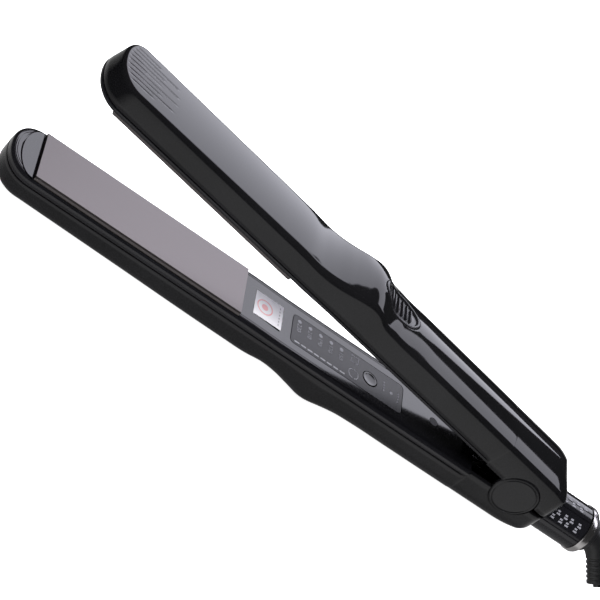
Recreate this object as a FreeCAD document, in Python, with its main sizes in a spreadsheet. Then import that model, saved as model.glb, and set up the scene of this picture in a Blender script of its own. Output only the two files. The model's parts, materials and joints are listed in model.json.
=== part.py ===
"""Hair straightening iron: two hinged arms with floating heated plates and a swivelling cord.

Every arm piece is drawn in the arm frame: x runs from the hinge to the tip, y across, z outward from the
plane where the plates meet. The lower arm is that frame turned upside down, and the upper arm is that
frame swung open about the hinge axis. Millimetres.
"""
import FreeCAD, Part
import math
import os
import re

import Sketcher
from FreeCAD import Placement, Rotation, Vector

DIMENSIONS = {
    # both arms
    "half_width": 15.0, "wall": 2.0, "edge_round": 8.0, "tail_reach": 20.0, "tail_round": 8.6,
    "tip_reach": 260.0, "open_angle": 10.2, "rim_plate": 1.8, "rim_handle": 2.2, "rim_step": 120.0,
    "rim_step_length": 12.0, "floor_thick": 1.8, "cover_start": 22.0, "seam": 0.1, "seam_round": 3.5,
    # depth of each arm below its mating plane
    "lower_handle": 20.0, "lower_crest": 22.3, "lower_crest_place": 98.0, "lower_waist": 17.3,
    "lower_heel": 18.4, "lower_tip": 15.9, "lower_parting": 5.7,
    "upper_handle": 18.0, "upper_crest": 21.4, "upper_crest_place": 118.0, "upper_waist": 16.4,
    "upper_heel": 16.6, "upper_tip": 15.2, "upper_parting": 4.4,
    # plates and heaters
    "plate_start": 146.5, "plate_length": 100.0, "plate_half": 13.3, "plate_bevel": 0.6, "plate_face": 0.15,
    "plate_back": 2.55, "rail_inner": 5.6, "rail_outer": 7.2, "rail_back": 5.2,
    "plate_gap": 0.25, "heater_start": 158.0, "heater_length": 76.0, "heater_half": 5.4,
    "heater_thick": 2.0, "clip_thick": 0.4, "carrier_half": 12.4, "carrier_back": 7.0, "carrier_inset": 1.0,
    "spring_near": 166.0, "spring_far": 230.0, "spring_side": 4.2, "spring_seat": 13.3,
    "coil_radius": 2.1, "coil_wire": 0.35,
    # tip insert
    "insert_start": 247.3, "insert_reach": 9.4, "insert_half": 12.9, "insert_thick": 1.0, "insert_gap": 0.15,
    # control panel
    "overlay_start": 61.5, "overlay_length": 59.0, "overlay_half": 8.2, "overlay_thick": 0.25,
    "overlay_depth": 0.3, "label_start": 126.0, "label_length": 14.2, "label_half": 6.9, "label_thick": 0.12,
    "button_place": 79.0, "button_radius": 3.7, "button_gap": 0.2,
    "button_flange": 4.6, "board_start": 56.0, "board_length": 68.0, "board_half": 10.5,
    "board_face": 9.4, "board_thick": 1.6, "post_side": 8.5, "post_near": 60.0, "post_far": 121.0,
    "lamp_first": 94.9, "lamp_pitch": 5.55, "lamp_side": 5.7, "power_lamp_place": 67.5,
    "lamp_radius": 1.0, "wire_bend": 3.0,
    # case screws
    "screw_near": 44.0, "screw_mid": 135.0, "screw_tip": 251.5, "screw_shank": 1.0, "screw_head": 2.0,
    "screw_length": 7.5, "boss_radius": 3.0, "boss_face": 6.0,
    # hinge
    "pin_radius": 2.5, "pin_half": 11.9, "cap_radius": 10.8, "cap_gap": 0.2, "cap_back": 12.5,
    "lug_radius": 6.5, "outer_lug": 9.3, "inner_lug": 6.4, "inner_lug_thick": 2.7, "bridge_face": 10.5,
    "bridge_back": 13.4, "bridge_length": 14.0, "bush_radius": 3.6, "bracket_screw": 11.0,
    "bracket_screw_side": 5.2,
    # tail sleeve and cord swivel
    "sleeve_depth": 6.0, "sleeve_radius": 10.5, "sleeve_wall": 1.6, "sleeve_end": 41.5,
    "sleeve_root": 12.6, "ring_length": 4.0, "ring_radius": 11.0, "core_radius": 4.5,
    "guard_radius": 6.2, "guard_end_radius": 5.6, "guard_straight": 2.0, "guard_bend": 12.0,
    "guard_angle": 58.0, "guard_tail": 11.5, "neck_length": 2.5, "cord_radius": 2.85, "cord_stub": 1.5,
    "droop_angle": 39.3,
}

doc = FreeCAD.newDocument("flat_iron")
dims = doc.addObject("Spreadsheet::Sheet", "dims")
for row, (alias, size) in enumerate(DIMENSIONS.items(), start=1):
    dims.set(f"A{row}", alias)
    dims.set(f"B{row}", repr(size))
    dims.setAlias(f"B{row}", alias)
doc.recompute()


# ---------------------------------------------------------------- reading the sheet
def linked(text):
    """An expression on the sheet: each word of text becomes the cell of that alias."""
    return re.sub(r"[a-z_]+", lambda word: f"dims.{word.group()}", str(text))


def size_of(text):
    """The number that an expression has now."""
    value = dims.evalExpression(linked(text))
    return float(getattr(value, "Value", value))


# ---------------------------------------------------------------- placing pieces
def lay(piece, arm):
    """Put a piece drawn in the arm frame on its arm."""
    if arm == "lower":
        piece.Placement = Placement(Vector(0, 0, 0), Rotation(Vector(1, 0, 0), 180))
    if arm == "upper":
        piece.Placement = Placement(Vector(0, 0, 0), Rotation(Vector(0, -1, 0), size_of("open_angle")))
        piece.setExpression("Placement.Rotation.Angle", linked("open_angle"))
    return piece


def finished(label, arm, shape):
    """A piece whose shape is made with Part's own functions."""
    piece = doc.addObject("Part::Feature", label)
    piece.Shape = shape
    piece.Label = label
    return lay(piece, arm)


# ---------------------------------------------------------------- PartDesign helpers
def new_body(label):
    body = doc.addObject("PartDesign::Body", label)
    body.Label = label
    return body


def origin_plane(body, role):
    return next(item for item in body.Origin.OriginFeatures if item.Role == role)


def outline(body, role, corners, lift="0"):
    """A closed sketch of straight sides, with each corner tied to the sheet."""
    sketch = body.newObject("Sketcher::SketchObject", body.Name + "_outline")
    sketch.AttachmentSupport = [(origin_plane(body, role), "")]
    sketch.MapMode = "FlatFace"
    sketch.setExpression("AttachmentOffset.Base.z", linked(lift))
    points = [Vector(size_of(across), size_of(up), 0) for across, up in corners]
    for start, end in zip(points, points[1:] + points[:1]):
        sketch.addGeometry(Part.LineSegment(start, end), False)
    last = len(points) - 1
    for side in range(len(points)):
        before = side - 1 if side else last
        sketch.addConstraint(Sketcher.Constraint("Coincident", before, 2, side, 1))
    for side, (across, up) in enumerate(corners):
        for kind, text, value in (("DistanceX", across, points[side].x), ("DistanceY", up, points[side].y)):
            tie = sketch.addConstraint(Sketcher.Constraint(kind, -1, 1, side, 1, value))
            sketch.setExpression(f"Constraints[{tie}]", linked(text))
    return sketch


def rings(body, role, circles, lift="0"):
    """A sketch of circles, each (x, y, radius) tied to the sheet."""
    sketch = body.newObject("Sketcher::SketchObject", body.Name + "_circles")
    sketch.AttachmentSupport = [(origin_plane(body, role), "")]
    sketch.MapMode = "FlatFace"
    sketch.setExpression("AttachmentOffset.Base.z", linked(lift))
    for index, (across, up, radius) in enumerate(circles):
        centre = Vector(size_of(across), size_of(up), 0)
        sketch.addGeometry(Part.Circle(centre, Vector(0, 0, 1), size_of(radius)), False)
        for constraint, text in (
            (Sketcher.Constraint("DistanceX", -1, 1, index, 3, centre.x), across),
            (Sketcher.Constraint("DistanceY", -1, 1, index, 3, centre.y), up),
            (Sketcher.Constraint("Radius", index, size_of(radius)), radius),
        ):
            tie = sketch.addConstraint(constraint)
            sketch.setExpression(f"Constraints[{tie}]", linked(text))
    return sketch


def pad(body, sketch, length, midplane=False):
    feature = body.newObject("PartDesign::Pad", body.Name + "_pad")
    feature.Profile = sketch
    feature.Midplane = midplane
    feature.Length = size_of(length)
    feature.setExpression("Length", linked(length))
    doc.recompute()
    return feature


def pocket(body, sketch, length, reverse=False):
    """Cut the sketch into the body, and make sure that material is gone."""
    before = body.Shape.Volume
    feature = body.newObject("PartDesign::Pocket", body.Name + "_pocket")
    feature.Profile = sketch
    feature.Reversed = reverse
    feature.Length = size_of(length)
    feature.setExpression("Length", linked(length))
    doc.recompute()
    assert body.Shape.Volume < before - 0.001, body.Label
    return feature


def turned(label, corners, axis="H_Axis"):
    """A round piece: the half outline in the XY plane, revolved about the sketch's own x axis."""
    body = new_body(label)
    sketch = outline(body, "XY_Plane", corners)
    feature = body.newObject("PartDesign::Revolution", body.Name + "_turn")
    feature.Profile = sketch
    feature.ReferenceAxis = (sketch, [axis])
    feature.Angle = 360
    doc.recompute()
    return body


def rectangle(x_low, x_high, y_low, y_high):
    return [(x_low, y_low), (x_high, y_low), (x_high, y_high), (x_low, y_high)]


# ---------------------------------------------------------------- Part primitive helpers
def block(name, x_low, x_high, y_low, y_high, z_low, z_high):
    """A box between six places on the sheet."""
    box = doc.addObject("Part::Box", name)
    for edge, low, high in (("Length", x_low, x_high), ("Width", y_low, y_high), ("Height", z_low, z_high)):
        box.setExpression(edge, linked(f"({high}) - ({low})"))
    for axis, low in (("x", x_low), ("y", y_low), ("z", z_low)):
        box.setExpression(f"Placement.Base.{axis}", linked(low))
    return box


def rod(name, radius, start, length, along="z"):
    """A cylinder from a place on the sheet, along x, y or z."""
    turn = {"x": Rotation(Vector(0, 1, 0), 90), "y": Rotation(Vector(1, 0, 0), -90), "z": Rotation()}[along]
    cylinder = doc.addObject("Part::Cylinder", name)
    cylinder.Placement = Placement(Vector(0, 0, 0), turn)
    cylinder.setExpression("Radius", linked(radius))
    cylinder.setExpression("Height", linked(length))
    for axis, text in zip("xyz", start):
        cylinder.setExpression(f"Placement.Base.{axis}", linked(text))
    return cylinder


def fused(label, pieces):
    union = doc.addObject("Part::MultiFuse", label)
    union.Shapes = pieces
    union.Label = label
    return union


def grouped(label, pieces):
    """Separate equal solids that share one node."""
    group = doc.addObject("Part::Compound", label)
    group.Links = pieces
    group.Label = label
    return group


def cut_from(label, base, tool):
    rest = doc.addObject("Part::Cut", label)
    rest.Base = base
    rest.Tool = tool
    rest.Label = label
    return rest


# ---------------------------------------------------------------- arm envelope
def outer_line(arm, inset):
    """The arm's outer edge seen from the side, from the tail to the tip, moved inward by inset."""
    crest_x = size_of(f"{arm}_crest_place")
    handle = size_of(f"{arm}_handle") - inset
    crest = size_of(f"{arm}_crest") - inset
    waist = size_of(f"{arm}_waist") - inset
    heel = size_of(f"{arm}_heel") - inset
    tip = size_of(f"{arm}_tip") - inset
    tail_x = -size_of("tail_reach") - 1
    tip_x = size_of("tip_reach") + 1
    heel_x = crest_x + 40
    slope = (tip - heel) / (tip_x - heel_x)
    swell = Part.BSplineCurve()
    places = [
        Vector(crest_x - 20, 0, handle),
        Vector(crest_x, 0, crest),
        Vector(crest_x + 15, 0, (crest + 2.2 * waist) / 3.2),
        Vector(crest_x + 26, 0, waist),
        Vector(heel_x, 0, heel),
    ]
    swell.interpolate(Points=places, InitialTangent=Vector(1, 0, 0), FinalTangent=Vector(1, 0, slope))
    return [
        Part.makeLine(Vector(tail_x, 0, handle), places[0]),
        swell.toShape(),
        Part.makeLine(places[-1], Vector(tip_x, 0, tip)),
    ]


def side_slab(arm, inset):
    """The arm's side outline from under the mating plane to the outer edge, as a wide slab."""
    edges = outer_line(arm, inset)
    start = edges[0].Vertexes[0].Point
    end = edges[-1].Vertexes[-1].Point
    floor = -2.0
    edges.append(Part.makeLine(end, Vector(end.x, 0, floor)))
    edges.append(Part.makeLine(Vector(end.x, 0, floor), Vector(start.x, 0, floor)))
    edges.append(Part.makeLine(Vector(start.x, 0, floor), start))
    face = Part.Face(Part.Wire(Part.__sortEdges__(edges)))
    reach = size_of("half_width") + 1
    face.translate(Vector(0, -reach, 0))
    return face.extrude(Vector(0, 2 * reach, 0))


def plan_slab(inset):
    """The arm's outline seen from above: square tail with round corners, round tip."""
    half = size_of("half_width") - inset
    tail_x = -size_of("tail_reach") + inset
    corner = size_of("tail_round") - inset
    centre_x = size_of("tip_reach") - size_of("half_width")
    low = -3.0
    high = 30.0
    bar = Part.makeBox(centre_x - tail_x, 2 * half, high - low, Vector(tail_x, -half, low))
    upright = [
        edge for edge in bar.Edges
        if abs(edge.Vertexes[0].X - edge.Vertexes[-1].X) < 0.01 and abs(edge.Vertexes[0].X - tail_x) < 0.01
        and abs(edge.Vertexes[0].Z - edge.Vertexes[-1].Z) > 1
    ]
    bar = bar.makeFillet(corner, upright)
    tip = Part.makeCylinder(half, high - low, Vector(centre_x, 0, low))
    return bar.fuse(tip).removeSplitter()


def envelope(arm, inset):
    """The whole arm as one solid, with its outer edges rounded."""
    solid = side_slab(arm, inset).common(plan_slab(inset))
    tail_x = -size_of("tail_reach") + inset
    tip_x = size_of("tip_reach") - inset
    outer = []
    for edge in solid.Edges:
        middle = edge.valueAt((edge.FirstParameter + edge.LastParameter) / 2)
        across = abs(middle.y) < 0.01 and tail_x + 0.5 < middle.x < tip_x - 0.5
        low = min(vertex.Z for vertex in edge.Vertexes) < 5
        if not across and not low:
            outer.append(edge)
    return solid.makeFillet(size_of("edge_round") - inset, outer)


def rim_slab():
    """Everything on the mating side of the rim, to be cut away."""
    handle = size_of("rim_handle")
    plate = size_of("rim_plate")
    step = size_of("rim_step")
    run = size_of("rim_step_length")
    far = size_of("tip_reach") + 10
    ramp = Part.BSplineCurve()
    ramp.interpolate(
        Points=[Vector(step, 0, handle), Vector(step + run, 0, plate)],
        InitialTangent=Vector(1, 0, 0), FinalTangent=Vector(1, 0, 0),
    )
    loop = [Vector(far, 0, plate), Vector(far, 0, -10), Vector(-60, 0, -10), Vector(-60, 0, handle)]
    edges = [ramp.toShape(), Part.makeLine(Vector(step + run, 0, plate), loop[0])]
    edges += [Part.makeLine(start, end) for start, end in zip(loop, loop[1:])]
    edges.append(Part.makeLine(loop[-1], Vector(step, 0, handle)))
    face = Part.Face(Part.Wire(Part.__sortEdges__(edges)))
    face.translate(Vector(0, -30, 0))
    return face.extrude(Vector(0, 60, 0))


def cover_zone(arm, slack):
    """The part of the arm that belongs to the inner cover; its lower back corner is rounded."""
    start = size_of("cover_start") + slack
    top = size_of(f"{arm}_parting") - slack
    zone = Part.makeBox(300, 60, top + 20, Vector(start, -30, -20))
    corner = [
        edge for edge in zone.Edges
        if abs(edge.CenterOfMass.x - start) < 0.01 and abs(edge.CenterOfMass.z - top) < 0.01
    ]
    return zone.makeFillet(size_of("seam_round"), corner)


def upright_cylinder(x, y, radius, low, high):
    return Part.makeCylinder(radius, high - low, Vector(x, y, low))


def case_screw_places():
    return [size_of("screw_near"), size_of("screw_mid"), size_of("screw_tip")]


def sleeve_room(arm, radius):
    """Where the tail sleeve passes, in this arm's frame, at both ends of the hinge's travel."""
    depth = size_of("sleeve_depth")
    if arm == "lower":
        return Part.makeCylinder(radius, 40, Vector(-50, 0, depth), Vector(1, 0, 0))
    room = Part.makeCylinder(radius, 40, Vector(-50, 0, -depth), Vector(1, 0, 0))
    for angle in (size_of("open_angle") / 2, size_of("open_angle")):
        swung = Part.makeCylinder(radius, 40, Vector(-50, 0, -depth), Vector(1, 0, 0))
        swung.rotate(Vector(0, 0, 0), Vector(0, 1, 0), angle)
        room = room.fuse(swung)
    return room


# ---------------------------------------------------------------- arm shells and covers
def outer_shell(arm):
    body = envelope(arm, 0)
    cavity = envelope(arm, size_of("wall"))
    shell = body.cut(cavity).cut(rim_slab()).cut(cover_zone(arm, 0))
    floor = 30.0
    extras = []
    for x in case_screw_places():
        extras.append(upright_cylinder(x, 0, size_of("boss_radius"), size_of("boss_face"), floor))
    for x in (size_of("spring_near"), size_of("spring_far")):
        for side in (-1, 1):
            place = side * size_of("spring_side")
            extras.append(upright_cylinder(x, place, 2.6, size_of("spring_seat"), floor))
    low_x = 1 - size_of("lug_radius")
    boss_low = size_of("bridge_back") + 0.05
    boss = Part.makeBox(size_of("bridge_length") - low_x, 13, floor - boss_low, Vector(low_x, -6.5, boss_low))
    extras.append(boss)
    for extra in extras:
        shell = shell.fuse(extra.common(body))
    for x in case_screw_places():
        pilot = size_of("screw_shank") + 0.03
        shell = shell.cut(upright_cylinder(x, 0, pilot, 0, 12.5))
    for side in (-1, 1):
        place = side * size_of("bracket_screw_side")
        shell = shell.cut(upright_cylinder(size_of("bracket_screw"), place, 1.03, 5, boss_low + 2.4))
        far_side = Vector(0, side * (size_of("cap_back") - 0.1), 0)
        hole = Part.makeCylinder(size_of("cap_radius + cap_gap"), 5, far_side, Vector(0, side, 0))
        shell = shell.cut(hole)
    return shell.cut(sleeve_room(arm, size_of("sleeve_radius") + (0.08 if arm == "lower" else 0.7)))


def plate_window():
    """The opening that the floating plate sits in."""
    gap = size_of("plate_gap")
    half = size_of("plate_half + plate_bevel") + gap
    start = size_of("plate_start") - gap
    return Part.makeBox(size_of("plate_length") + 2 * gap, 2 * half, 20, Vector(start, -half, -5))


def insert_outline(gap):
    """The D-shaped outline of the tip insert, as a thick prism."""
    start = size_of("insert_start") - gap
    reach = size_of("insert_reach") + 2 * gap
    half = size_of("insert_half") + gap
    arc = Part.Ellipse(Vector(start, half, 0), Vector(start + reach, 0, 0), Vector(start, 0, 0))
    curve = arc.toShape(0, math.pi)
    ends = [vertex.Point for vertex in curve.Vertexes]
    face = Part.Face(Part.Wire([curve, Part.makeLine(ends[1], ends[0])]))
    face.translate(Vector(0, 0, -5))
    return face.extrude(Vector(0, 0, 30))


def slab_between(low, high):
    return Part.makeBox(400, 60, high - low, Vector(-60, -30, low))


def inner_cover(arm):
    seam = size_of("seam")
    room = envelope(arm, size_of("wall")).common(slab_between(size_of("rim_handle + floor_thick"), 40))
    cover = envelope(arm, 0).common(cover_zone(arm, seam)).cut(rim_slab()).cut(room)
    cover = cover.cut(plate_window())
    insert_back = size_of("rim_plate + insert_thick") + 0.02
    pocket_room = insert_outline(size_of("insert_gap")).common(slab_between(-5, insert_back))
    cover = cover.cut(pocket_room)
    for x in case_screw_places():
        face = cover_face(x)
        cover = cover.fuse(upright_cylinder(x, 0, 3.4, 3.0, size_of("boss_face") - 0.05))
        cover = cover.cut(upright_cylinder(x, 0, size_of("screw_shank") + 0.2, -5, 10))
        cover = cover.cut(upright_cylinder(x, 0, size_of("screw_head") + 0.15, -5, face + 1.25))
    if arm == "lower":
        cover = control_features(cover)
    return cover


def cover_face(x):
    """Height of the cover's inner face at x, or of the insert pocket's floor at the tip."""
    if x > size_of("insert_start"):
        return size_of("rim_plate + insert_thick") + 0.05
    return size_of("rim_plate") if x > size_of("rim_step + rim_step_length") else size_of("rim_handle")


def overlay_prism(gap):
    """The overlay's rounded outline as a thick prism."""
    start = size_of("overlay_start") - gap
    half = size_of("overlay_half") + gap
    prism = Part.makeBox(size_of("overlay_length") + 2 * gap, 2 * half, 30, Vector(start, -half, -5))
    upright = [edge for edge in prism.Edges if abs(edge.Vertexes[0].Z - edge.Vertexes[-1].Z) > 1]
    return prism.makeFillet(2.0, upright)


def lamp_places():
    row = [(size_of("lamp_first") + size_of("lamp_pitch") * index, size_of("lamp_side")) for index in range(5)]
    return row + [(size_of("power_lamp_place"), 0.0)]


def post_places():
    side = size_of("post_side")
    return [(x, y) for x in (size_of("post_near"), size_of("post_far")) for y in (-side, side)]


def control_features(cover):
    """Openings, posts and the overlay's recess in the lower cover."""
    recess = overlay_prism(0.1).common(slab_between(-5, size_of("rim_handle + overlay_depth")))
    cover = cover.cut(recess)
    for x, y in post_places():
        low = size_of("rim_handle") + 0.8
        cover = cover.fuse(upright_cylinder(x, y, 2.0, low, size_of("board_face")))
        cover = cover.cut(upright_cylinder(x, y, 0.83, low + 1.2, size_of("board_face")))
    for x, y in lamp_places():
        cover = cover.cut(upright_cylinder(x, y, size_of("lamp_radius") + 0.05, -5, 8))
    hole = size_of("button_radius + button_gap")
    return cover.cut(upright_cylinder(size_of("button_place"), 0, hole, -5, 8))


for arm in ("lower", "upper"):
    finished(f"{arm}_outer_shell", arm, outer_shell(arm))
    finished(f"{arm}_inner_cover", arm, inner_cover(arm))


# ---------------------------------------------------------------- tip inserts and grip
def tip_insert():
    low = size_of("rim_plate") - 0.05
    return insert_outline(0).common(slab_between(low, low + size_of("insert_thick")))


def thumb_grip():
    """A raised rubber oval that follows the handle's outer surface behind the crest."""
    centre_x = size_of("upper_crest_place") - 17
    oval = Part.Ellipse(Vector(centre_x, 0, 0), 13.5, 7.6).toShape()
    prism = Part.Face(Part.Wire([oval])).extrude(Vector(0, 0, 40))
    skin = envelope("upper", 0)
    top = skin.copy()
    top.translate(Vector(0, 0, 0.5))
    return prism.common(top).cut(skin)


finished("upper_thumb_grip", "upper", thumb_grip())
for arm in ("lower", "upper"):
    finished(f"{arm}_tip_insert", arm, tip_insert())


# ---------------------------------------------------------------- plates, heaters and carriers
def heating_plate(arm):
    """Extruded aluminium plate: a flat face with bevelled long edges and two rails for the heater."""
    edge = "plate_half + plate_bevel"
    half_section = [
        ("plate_half", "plate_face"), (edge, "plate_face + plate_bevel"), (edge, "plate_back"),
        ("rail_outer", "plate_back"), ("rail_outer", "rail_back"), ("rail_inner", "rail_back"),
        ("rail_inner", "plate_back"),
    ]
    mirrored = [(f"-({across})", up) for across, up in reversed(half_section)]
    body = new_body(f"{arm}_plate")
    sketch = outline(body, "YZ_Plane", half_section + mirrored, "plate_start")
    pad(body, sketch, "plate_length")
    return lay(body, arm)


def heater(arm):
    body = new_body(f"{arm}_heater")
    corners = rectangle("heater_start", "heater_start + heater_length", "-heater_half", "heater_half")
    pad(body, outline(body, "XY_Plane", corners, "plate_back"), "heater_thick")
    return lay(body, arm)


def heater_clip(arm):
    """Leaf that presses the heater on the plate: a thin strip with two raised fingers."""
    face = "plate_back + heater_thick"
    strip = block(f"{arm}_clip_strip", "heater_start", "heater_start + heater_length",
                  "-heater_half", "heater_half", face, f"{face} + clip_thick")
    fingers = [
        block(f"{arm}_clip_finger{index}",
              f"heater_start + {20 + 32 * index}", f"heater_start + {24 + 32 * index}",
              "-heater_half", "heater_half", f"{face} + clip_thick", "rail_back - clip_thick / 2")
        for index in range(2)
    ]
    return lay(fused(f"{arm}_heater_clip", [strip] + fingers), arm)


def plate_carrier(arm):
    """Heat-proof tray behind the plate, open along the middle for the rails and the heater."""
    start = "plate_start + carrier_inset"
    end = "plate_start + plate_length - carrier_inset"
    body = new_body(f"{arm}_plate_carrier")
    section = [
        ("carrier_half", "plate_back"), ("carrier_half", "carrier_back"),
        ("-carrier_half", "carrier_back"), ("-carrier_half", "plate_back"),
        ("-(rail_outer + plate_gap)", "plate_back"), ("-(rail_outer + plate_gap)", "rail_back + plate_gap"),
        ("rail_outer + plate_gap", "rail_back + plate_gap"), ("rail_outer + plate_gap", "plate_back"),
    ]
    sketch = outline(body, "YZ_Plane", section, start)
    pad(body, sketch, f"({end}) - ({start})")
    return lay(body, arm)


for arm in ("lower", "upper"):
    heating_plate(arm)
    heater(arm)
    heater_clip(arm)
    plate_carrier(arm)

bead = rod("thermistor_bead", "0.95", ("plate_start + 4", "0", "plate_back + 0.96"), "5", "x")
lay(grouped("thermistor", [bead]), "lower")
fuse_case = rod("fuse_case", "1.2", ("plate_start + 90", "0", "plate_back + 1.21"), "7", "x")
lay(grouped("thermal_fuse", [fuse_case]), "upper")


# ---------------------------------------------------------------- coil springs
def coil(x, y, low, high, radius, wire, turns):
    """One compression spring standing between two heights."""
    pitch = (high - low - 2 * wire) / turns
    helix = Part.makeHelix(pitch, high - low - 2 * wire, radius)
    section = Part.Wire([Part.makeCircle(wire, Vector(radius, 0, 0), Vector(0, 1, 0))])
    spring = Part.Wire(helix.Edges).makePipeShell([section], True, True)
    spring.translate(Vector(x, y, low + wire))
    return spring


def plate_springs(arm):
    low = size_of("carrier_back") + 0.02
    high = size_of("spring_seat") - 0.02
    springs = [
        coil(x, side * size_of("spring_side"), low, high, size_of("coil_radius"), size_of("coil_wire"), 5)
        for x in (size_of("spring_near"), size_of("spring_far")) for side in (-1, 1)
    ]
    return finished(f"{arm}_plate_springs", arm, Part.makeCompound(springs))


for arm in ("lower", "upper"):
    plate_springs(arm)


# ---------------------------------------------------------------- screws
def screw(name, x, y, head_low, head_radius, shank, length):
    """A pan-head screw standing on its head: head at head_low, shank going outward."""
    head = rod(f"{name}_head", head_radius, (x, y, head_low), "1.2")
    stem = rod(f"{name}_stem", shank, (x, y, f"{head_low} + 1.2"), length)
    return fused(name, [head, stem])


def case_screws(arm):
    places = (("screw_near", "rim_handle"), ("screw_mid", "rim_plate"),
              ("screw_tip", "rim_plate + insert_thick + 0.05"))
    screws = [
        screw(f"{arm}_case_screw{index}", x, "0", low, "screw_head", "screw_shank", "screw_length")
        for index, (x, low) in enumerate(places)
    ]
    return lay(grouped(f"{arm}_case_screws", screws), arm)


def bracket_screws(arm):
    screws = [
        screw(f"{arm}_bracket_screw{index}", "bracket_screw", f"{side} * bracket_screw_side",
              "bridge_face - 1.2", "1.9", "1", "bridge_back - bridge_face + 2")
        for index, side in enumerate((-1, 1))
    ]
    return lay(grouped(f"{arm}_bracket_screws", screws), arm)


for arm in ("lower", "upper"):
    case_screws(arm)
    bracket_screws(arm)


# ---------------------------------------------------------------- control panel
overlay = overlay_prism(0).common(slab_between(size_of("rim_handle") + 0.04,
                                               size_of("rim_handle + overlay_thick") + 0.04))
button_opening = size_of("button_radius + button_gap")
overlay = overlay.cut(upright_cylinder(size_of("button_place"), 0, button_opening, -5, 8))
finished("control_overlay", "lower", overlay)



def caution_label():
    """A thin sticker that follows the cover's face over its small step."""
    prism = Part.makeBox(size_of("label_length"), 2 * size_of("label_half"), 10,
                         Vector(size_of("label_start"), -size_of("label_half"), -5))
    above = rim_slab()
    lifted = rim_slab()
    lifted.translate(Vector(0, 0, -size_of("label_thick")))
    return prism.common(above).cut(lifted)


finished("caution_label", "lower", caution_label())


def power_button():
    """Round button with a flange that keeps it in, and a stem for the switch."""
    body = new_body("power_button")
    face = "rim_handle - 0.1"
    corners = [
        ("0", face), ("button_radius - 0.3", face), ("button_radius", f"{face} + 0.3"),
        ("button_radius", "rim_handle + floor_thick + 0.1"),
        ("button_flange", "rim_handle + floor_thick + 0.1"),
        ("button_flange", "rim_handle + floor_thick + 0.9"), ("1.5", "rim_handle + floor_thick + 0.9"),
        ("1.5", "rim_handle + floor_thick + 1.6"), ("0", "rim_handle + floor_thick + 1.6"),
    ]
    sketch = outline(body, "XZ_Plane", corners)
    turn = body.newObject("PartDesign::Revolution", "power_button_turn")
    turn.Profile = sketch
    turn.ReferenceAxis = (sketch, ["V_Axis"])
    turn.Angle = 360
    doc.recompute()
    lay(body, "lower")
    body.setExpression("Placement.Base.x", linked("button_place"))
    return body


power_button()


def control_board():
    body = new_body("control_board")
    corners = rectangle("board_start", "board_start + board_length", "-board_half", "board_half")
    pad(body, outline(body, "XY_Plane", corners, "board_face"), "board_thick")
    holes = [(x, y, "0.95") for x in ("post_near", "post_far") for y in ("post_side", "-post_side")]
    pocket(body, rings(body, "XY_Plane", holes, "board_face"), "board_thick + 1", True)
    return lay(body, "lower")


control_board()

switch_face = "rim_handle + floor_thick + 2.9"
switch_case = block("switch_case", "button_place - 3", "button_place + 3", "-3", "3", switch_face, "board_face")
plunger = rod("switch_plunger", "1.4", ("button_place", "0", "rim_handle + floor_thick + 2.25"), "0.65")
lay(fused("push_switch", [switch_case, plunger]), "lower")


def lamps():
    """Indicator lamps soldered on the board: five for temperature, one for power."""
    places = [(f"lamp_first + {index} * lamp_pitch", "lamp_side") for index in range(5)]
    places.append(("power_lamp_place", "0"))
    chips = []
    pipes = []
    for index, (x, y) in enumerate(places):
        chips.append(block(f"lamp_chip{index}", f"{x} - 0.8", f"{x} + 0.8", f"{y} - 0.5", f"{y} + 0.5",
                           "board_face - 0.7", "board_face"))
        pipes.append(rod(f"lamp_pipe{index}", "lamp_radius",
                         (x, y, "rim_handle + overlay_depth + 0.02"), "5.8"))
    lay(grouped("indicator_lamps", chips), "lower")
    lay(grouped("light_pipes", pipes), "lower")


lamps()

board_back = "board_face + board_thick"
for name, x, y, length, width, height in (
    ("microcontroller", 95, 0, 9, 9, 1.2),
    ("triac", 82, -5, 4, 9, 5),
    ("filter_capacitor", 66, 0, 6, 11, 5),
):
    package = block(f"{name}_package", x - length / 2, x + length / 2, y - width / 2, y + width / 2,
                    board_back, f"{board_back} + {height}")
    lay(grouped(name, [package]), "lower")

board_screws = []
for index, (x, y) in enumerate((x, y) for x in ("post_near", "post_far") for y in ("-post_side", "post_side")):
    head = rod(f"board_screw{index}_head", "1.7", (x, y, board_back), "1")
    stem = rod(f"board_screw{index}_stem", "0.8", (x, y, f"{board_back} - 5"), "5")
    board_screws.append(fused(f"board_screw{index}", [head, stem]))
lay(grouped("board_screws", board_screws), "lower")


# ---------------------------------------------------------------- hinge
def hinge_bracket(arm):
    """Two lugs round the pin, joined by a bridge that is screwed to the shell."""
    low, thick = ("outer_lug", "pin_half - outer_lug") if arm == "lower" else ("inner_lug", "inner_lug_thick")
    pieces = []
    bores = []
    bore = "pin_radius + 0.03" if arm == "lower" else "bush_radius"
    for index, side in enumerate((-1, 1)):
        start = low if side > 0 else f"-({low} + {thick})"
        pieces.append(rod(f"{arm}_lug{index}", "lug_radius", ("0", start, "0"), thick, "y"))
        pieces.append(block(f"{arm}_lug_web{index}", "-lug_radius + 1", "lug_radius - 1", start,
                            f"{start} + {thick}", "0", "bridge_back"))
        bores.append(rod(f"{arm}_bore{index}", bore, ("0", f"{start} - 1", "0"), f"{thick} + 2", "y"))
    half = f"{low} + {thick}"
    pieces.append(block(f"{arm}_bridge", "1 - lug_radius", "bridge_length", f"-({half})", half,
                        "bridge_face", "bridge_back"))
    for index, side in enumerate((-1, 1)):
        bores.append(rod(f"{arm}_screw_hole{index}", "1.05",
                         ("bracket_screw", f"{side} * bracket_screw_side", "bridge_face - 1"), "10"))
    solid = fused(f"{arm}_bracket_solid", pieces)
    holes = fused(f"{arm}_bracket_holes", bores)
    return lay(cut_from(f"{arm}_hinge_bracket", solid, holes), arm)


for arm in ("lower", "upper"):
    hinge_bracket(arm)

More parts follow.
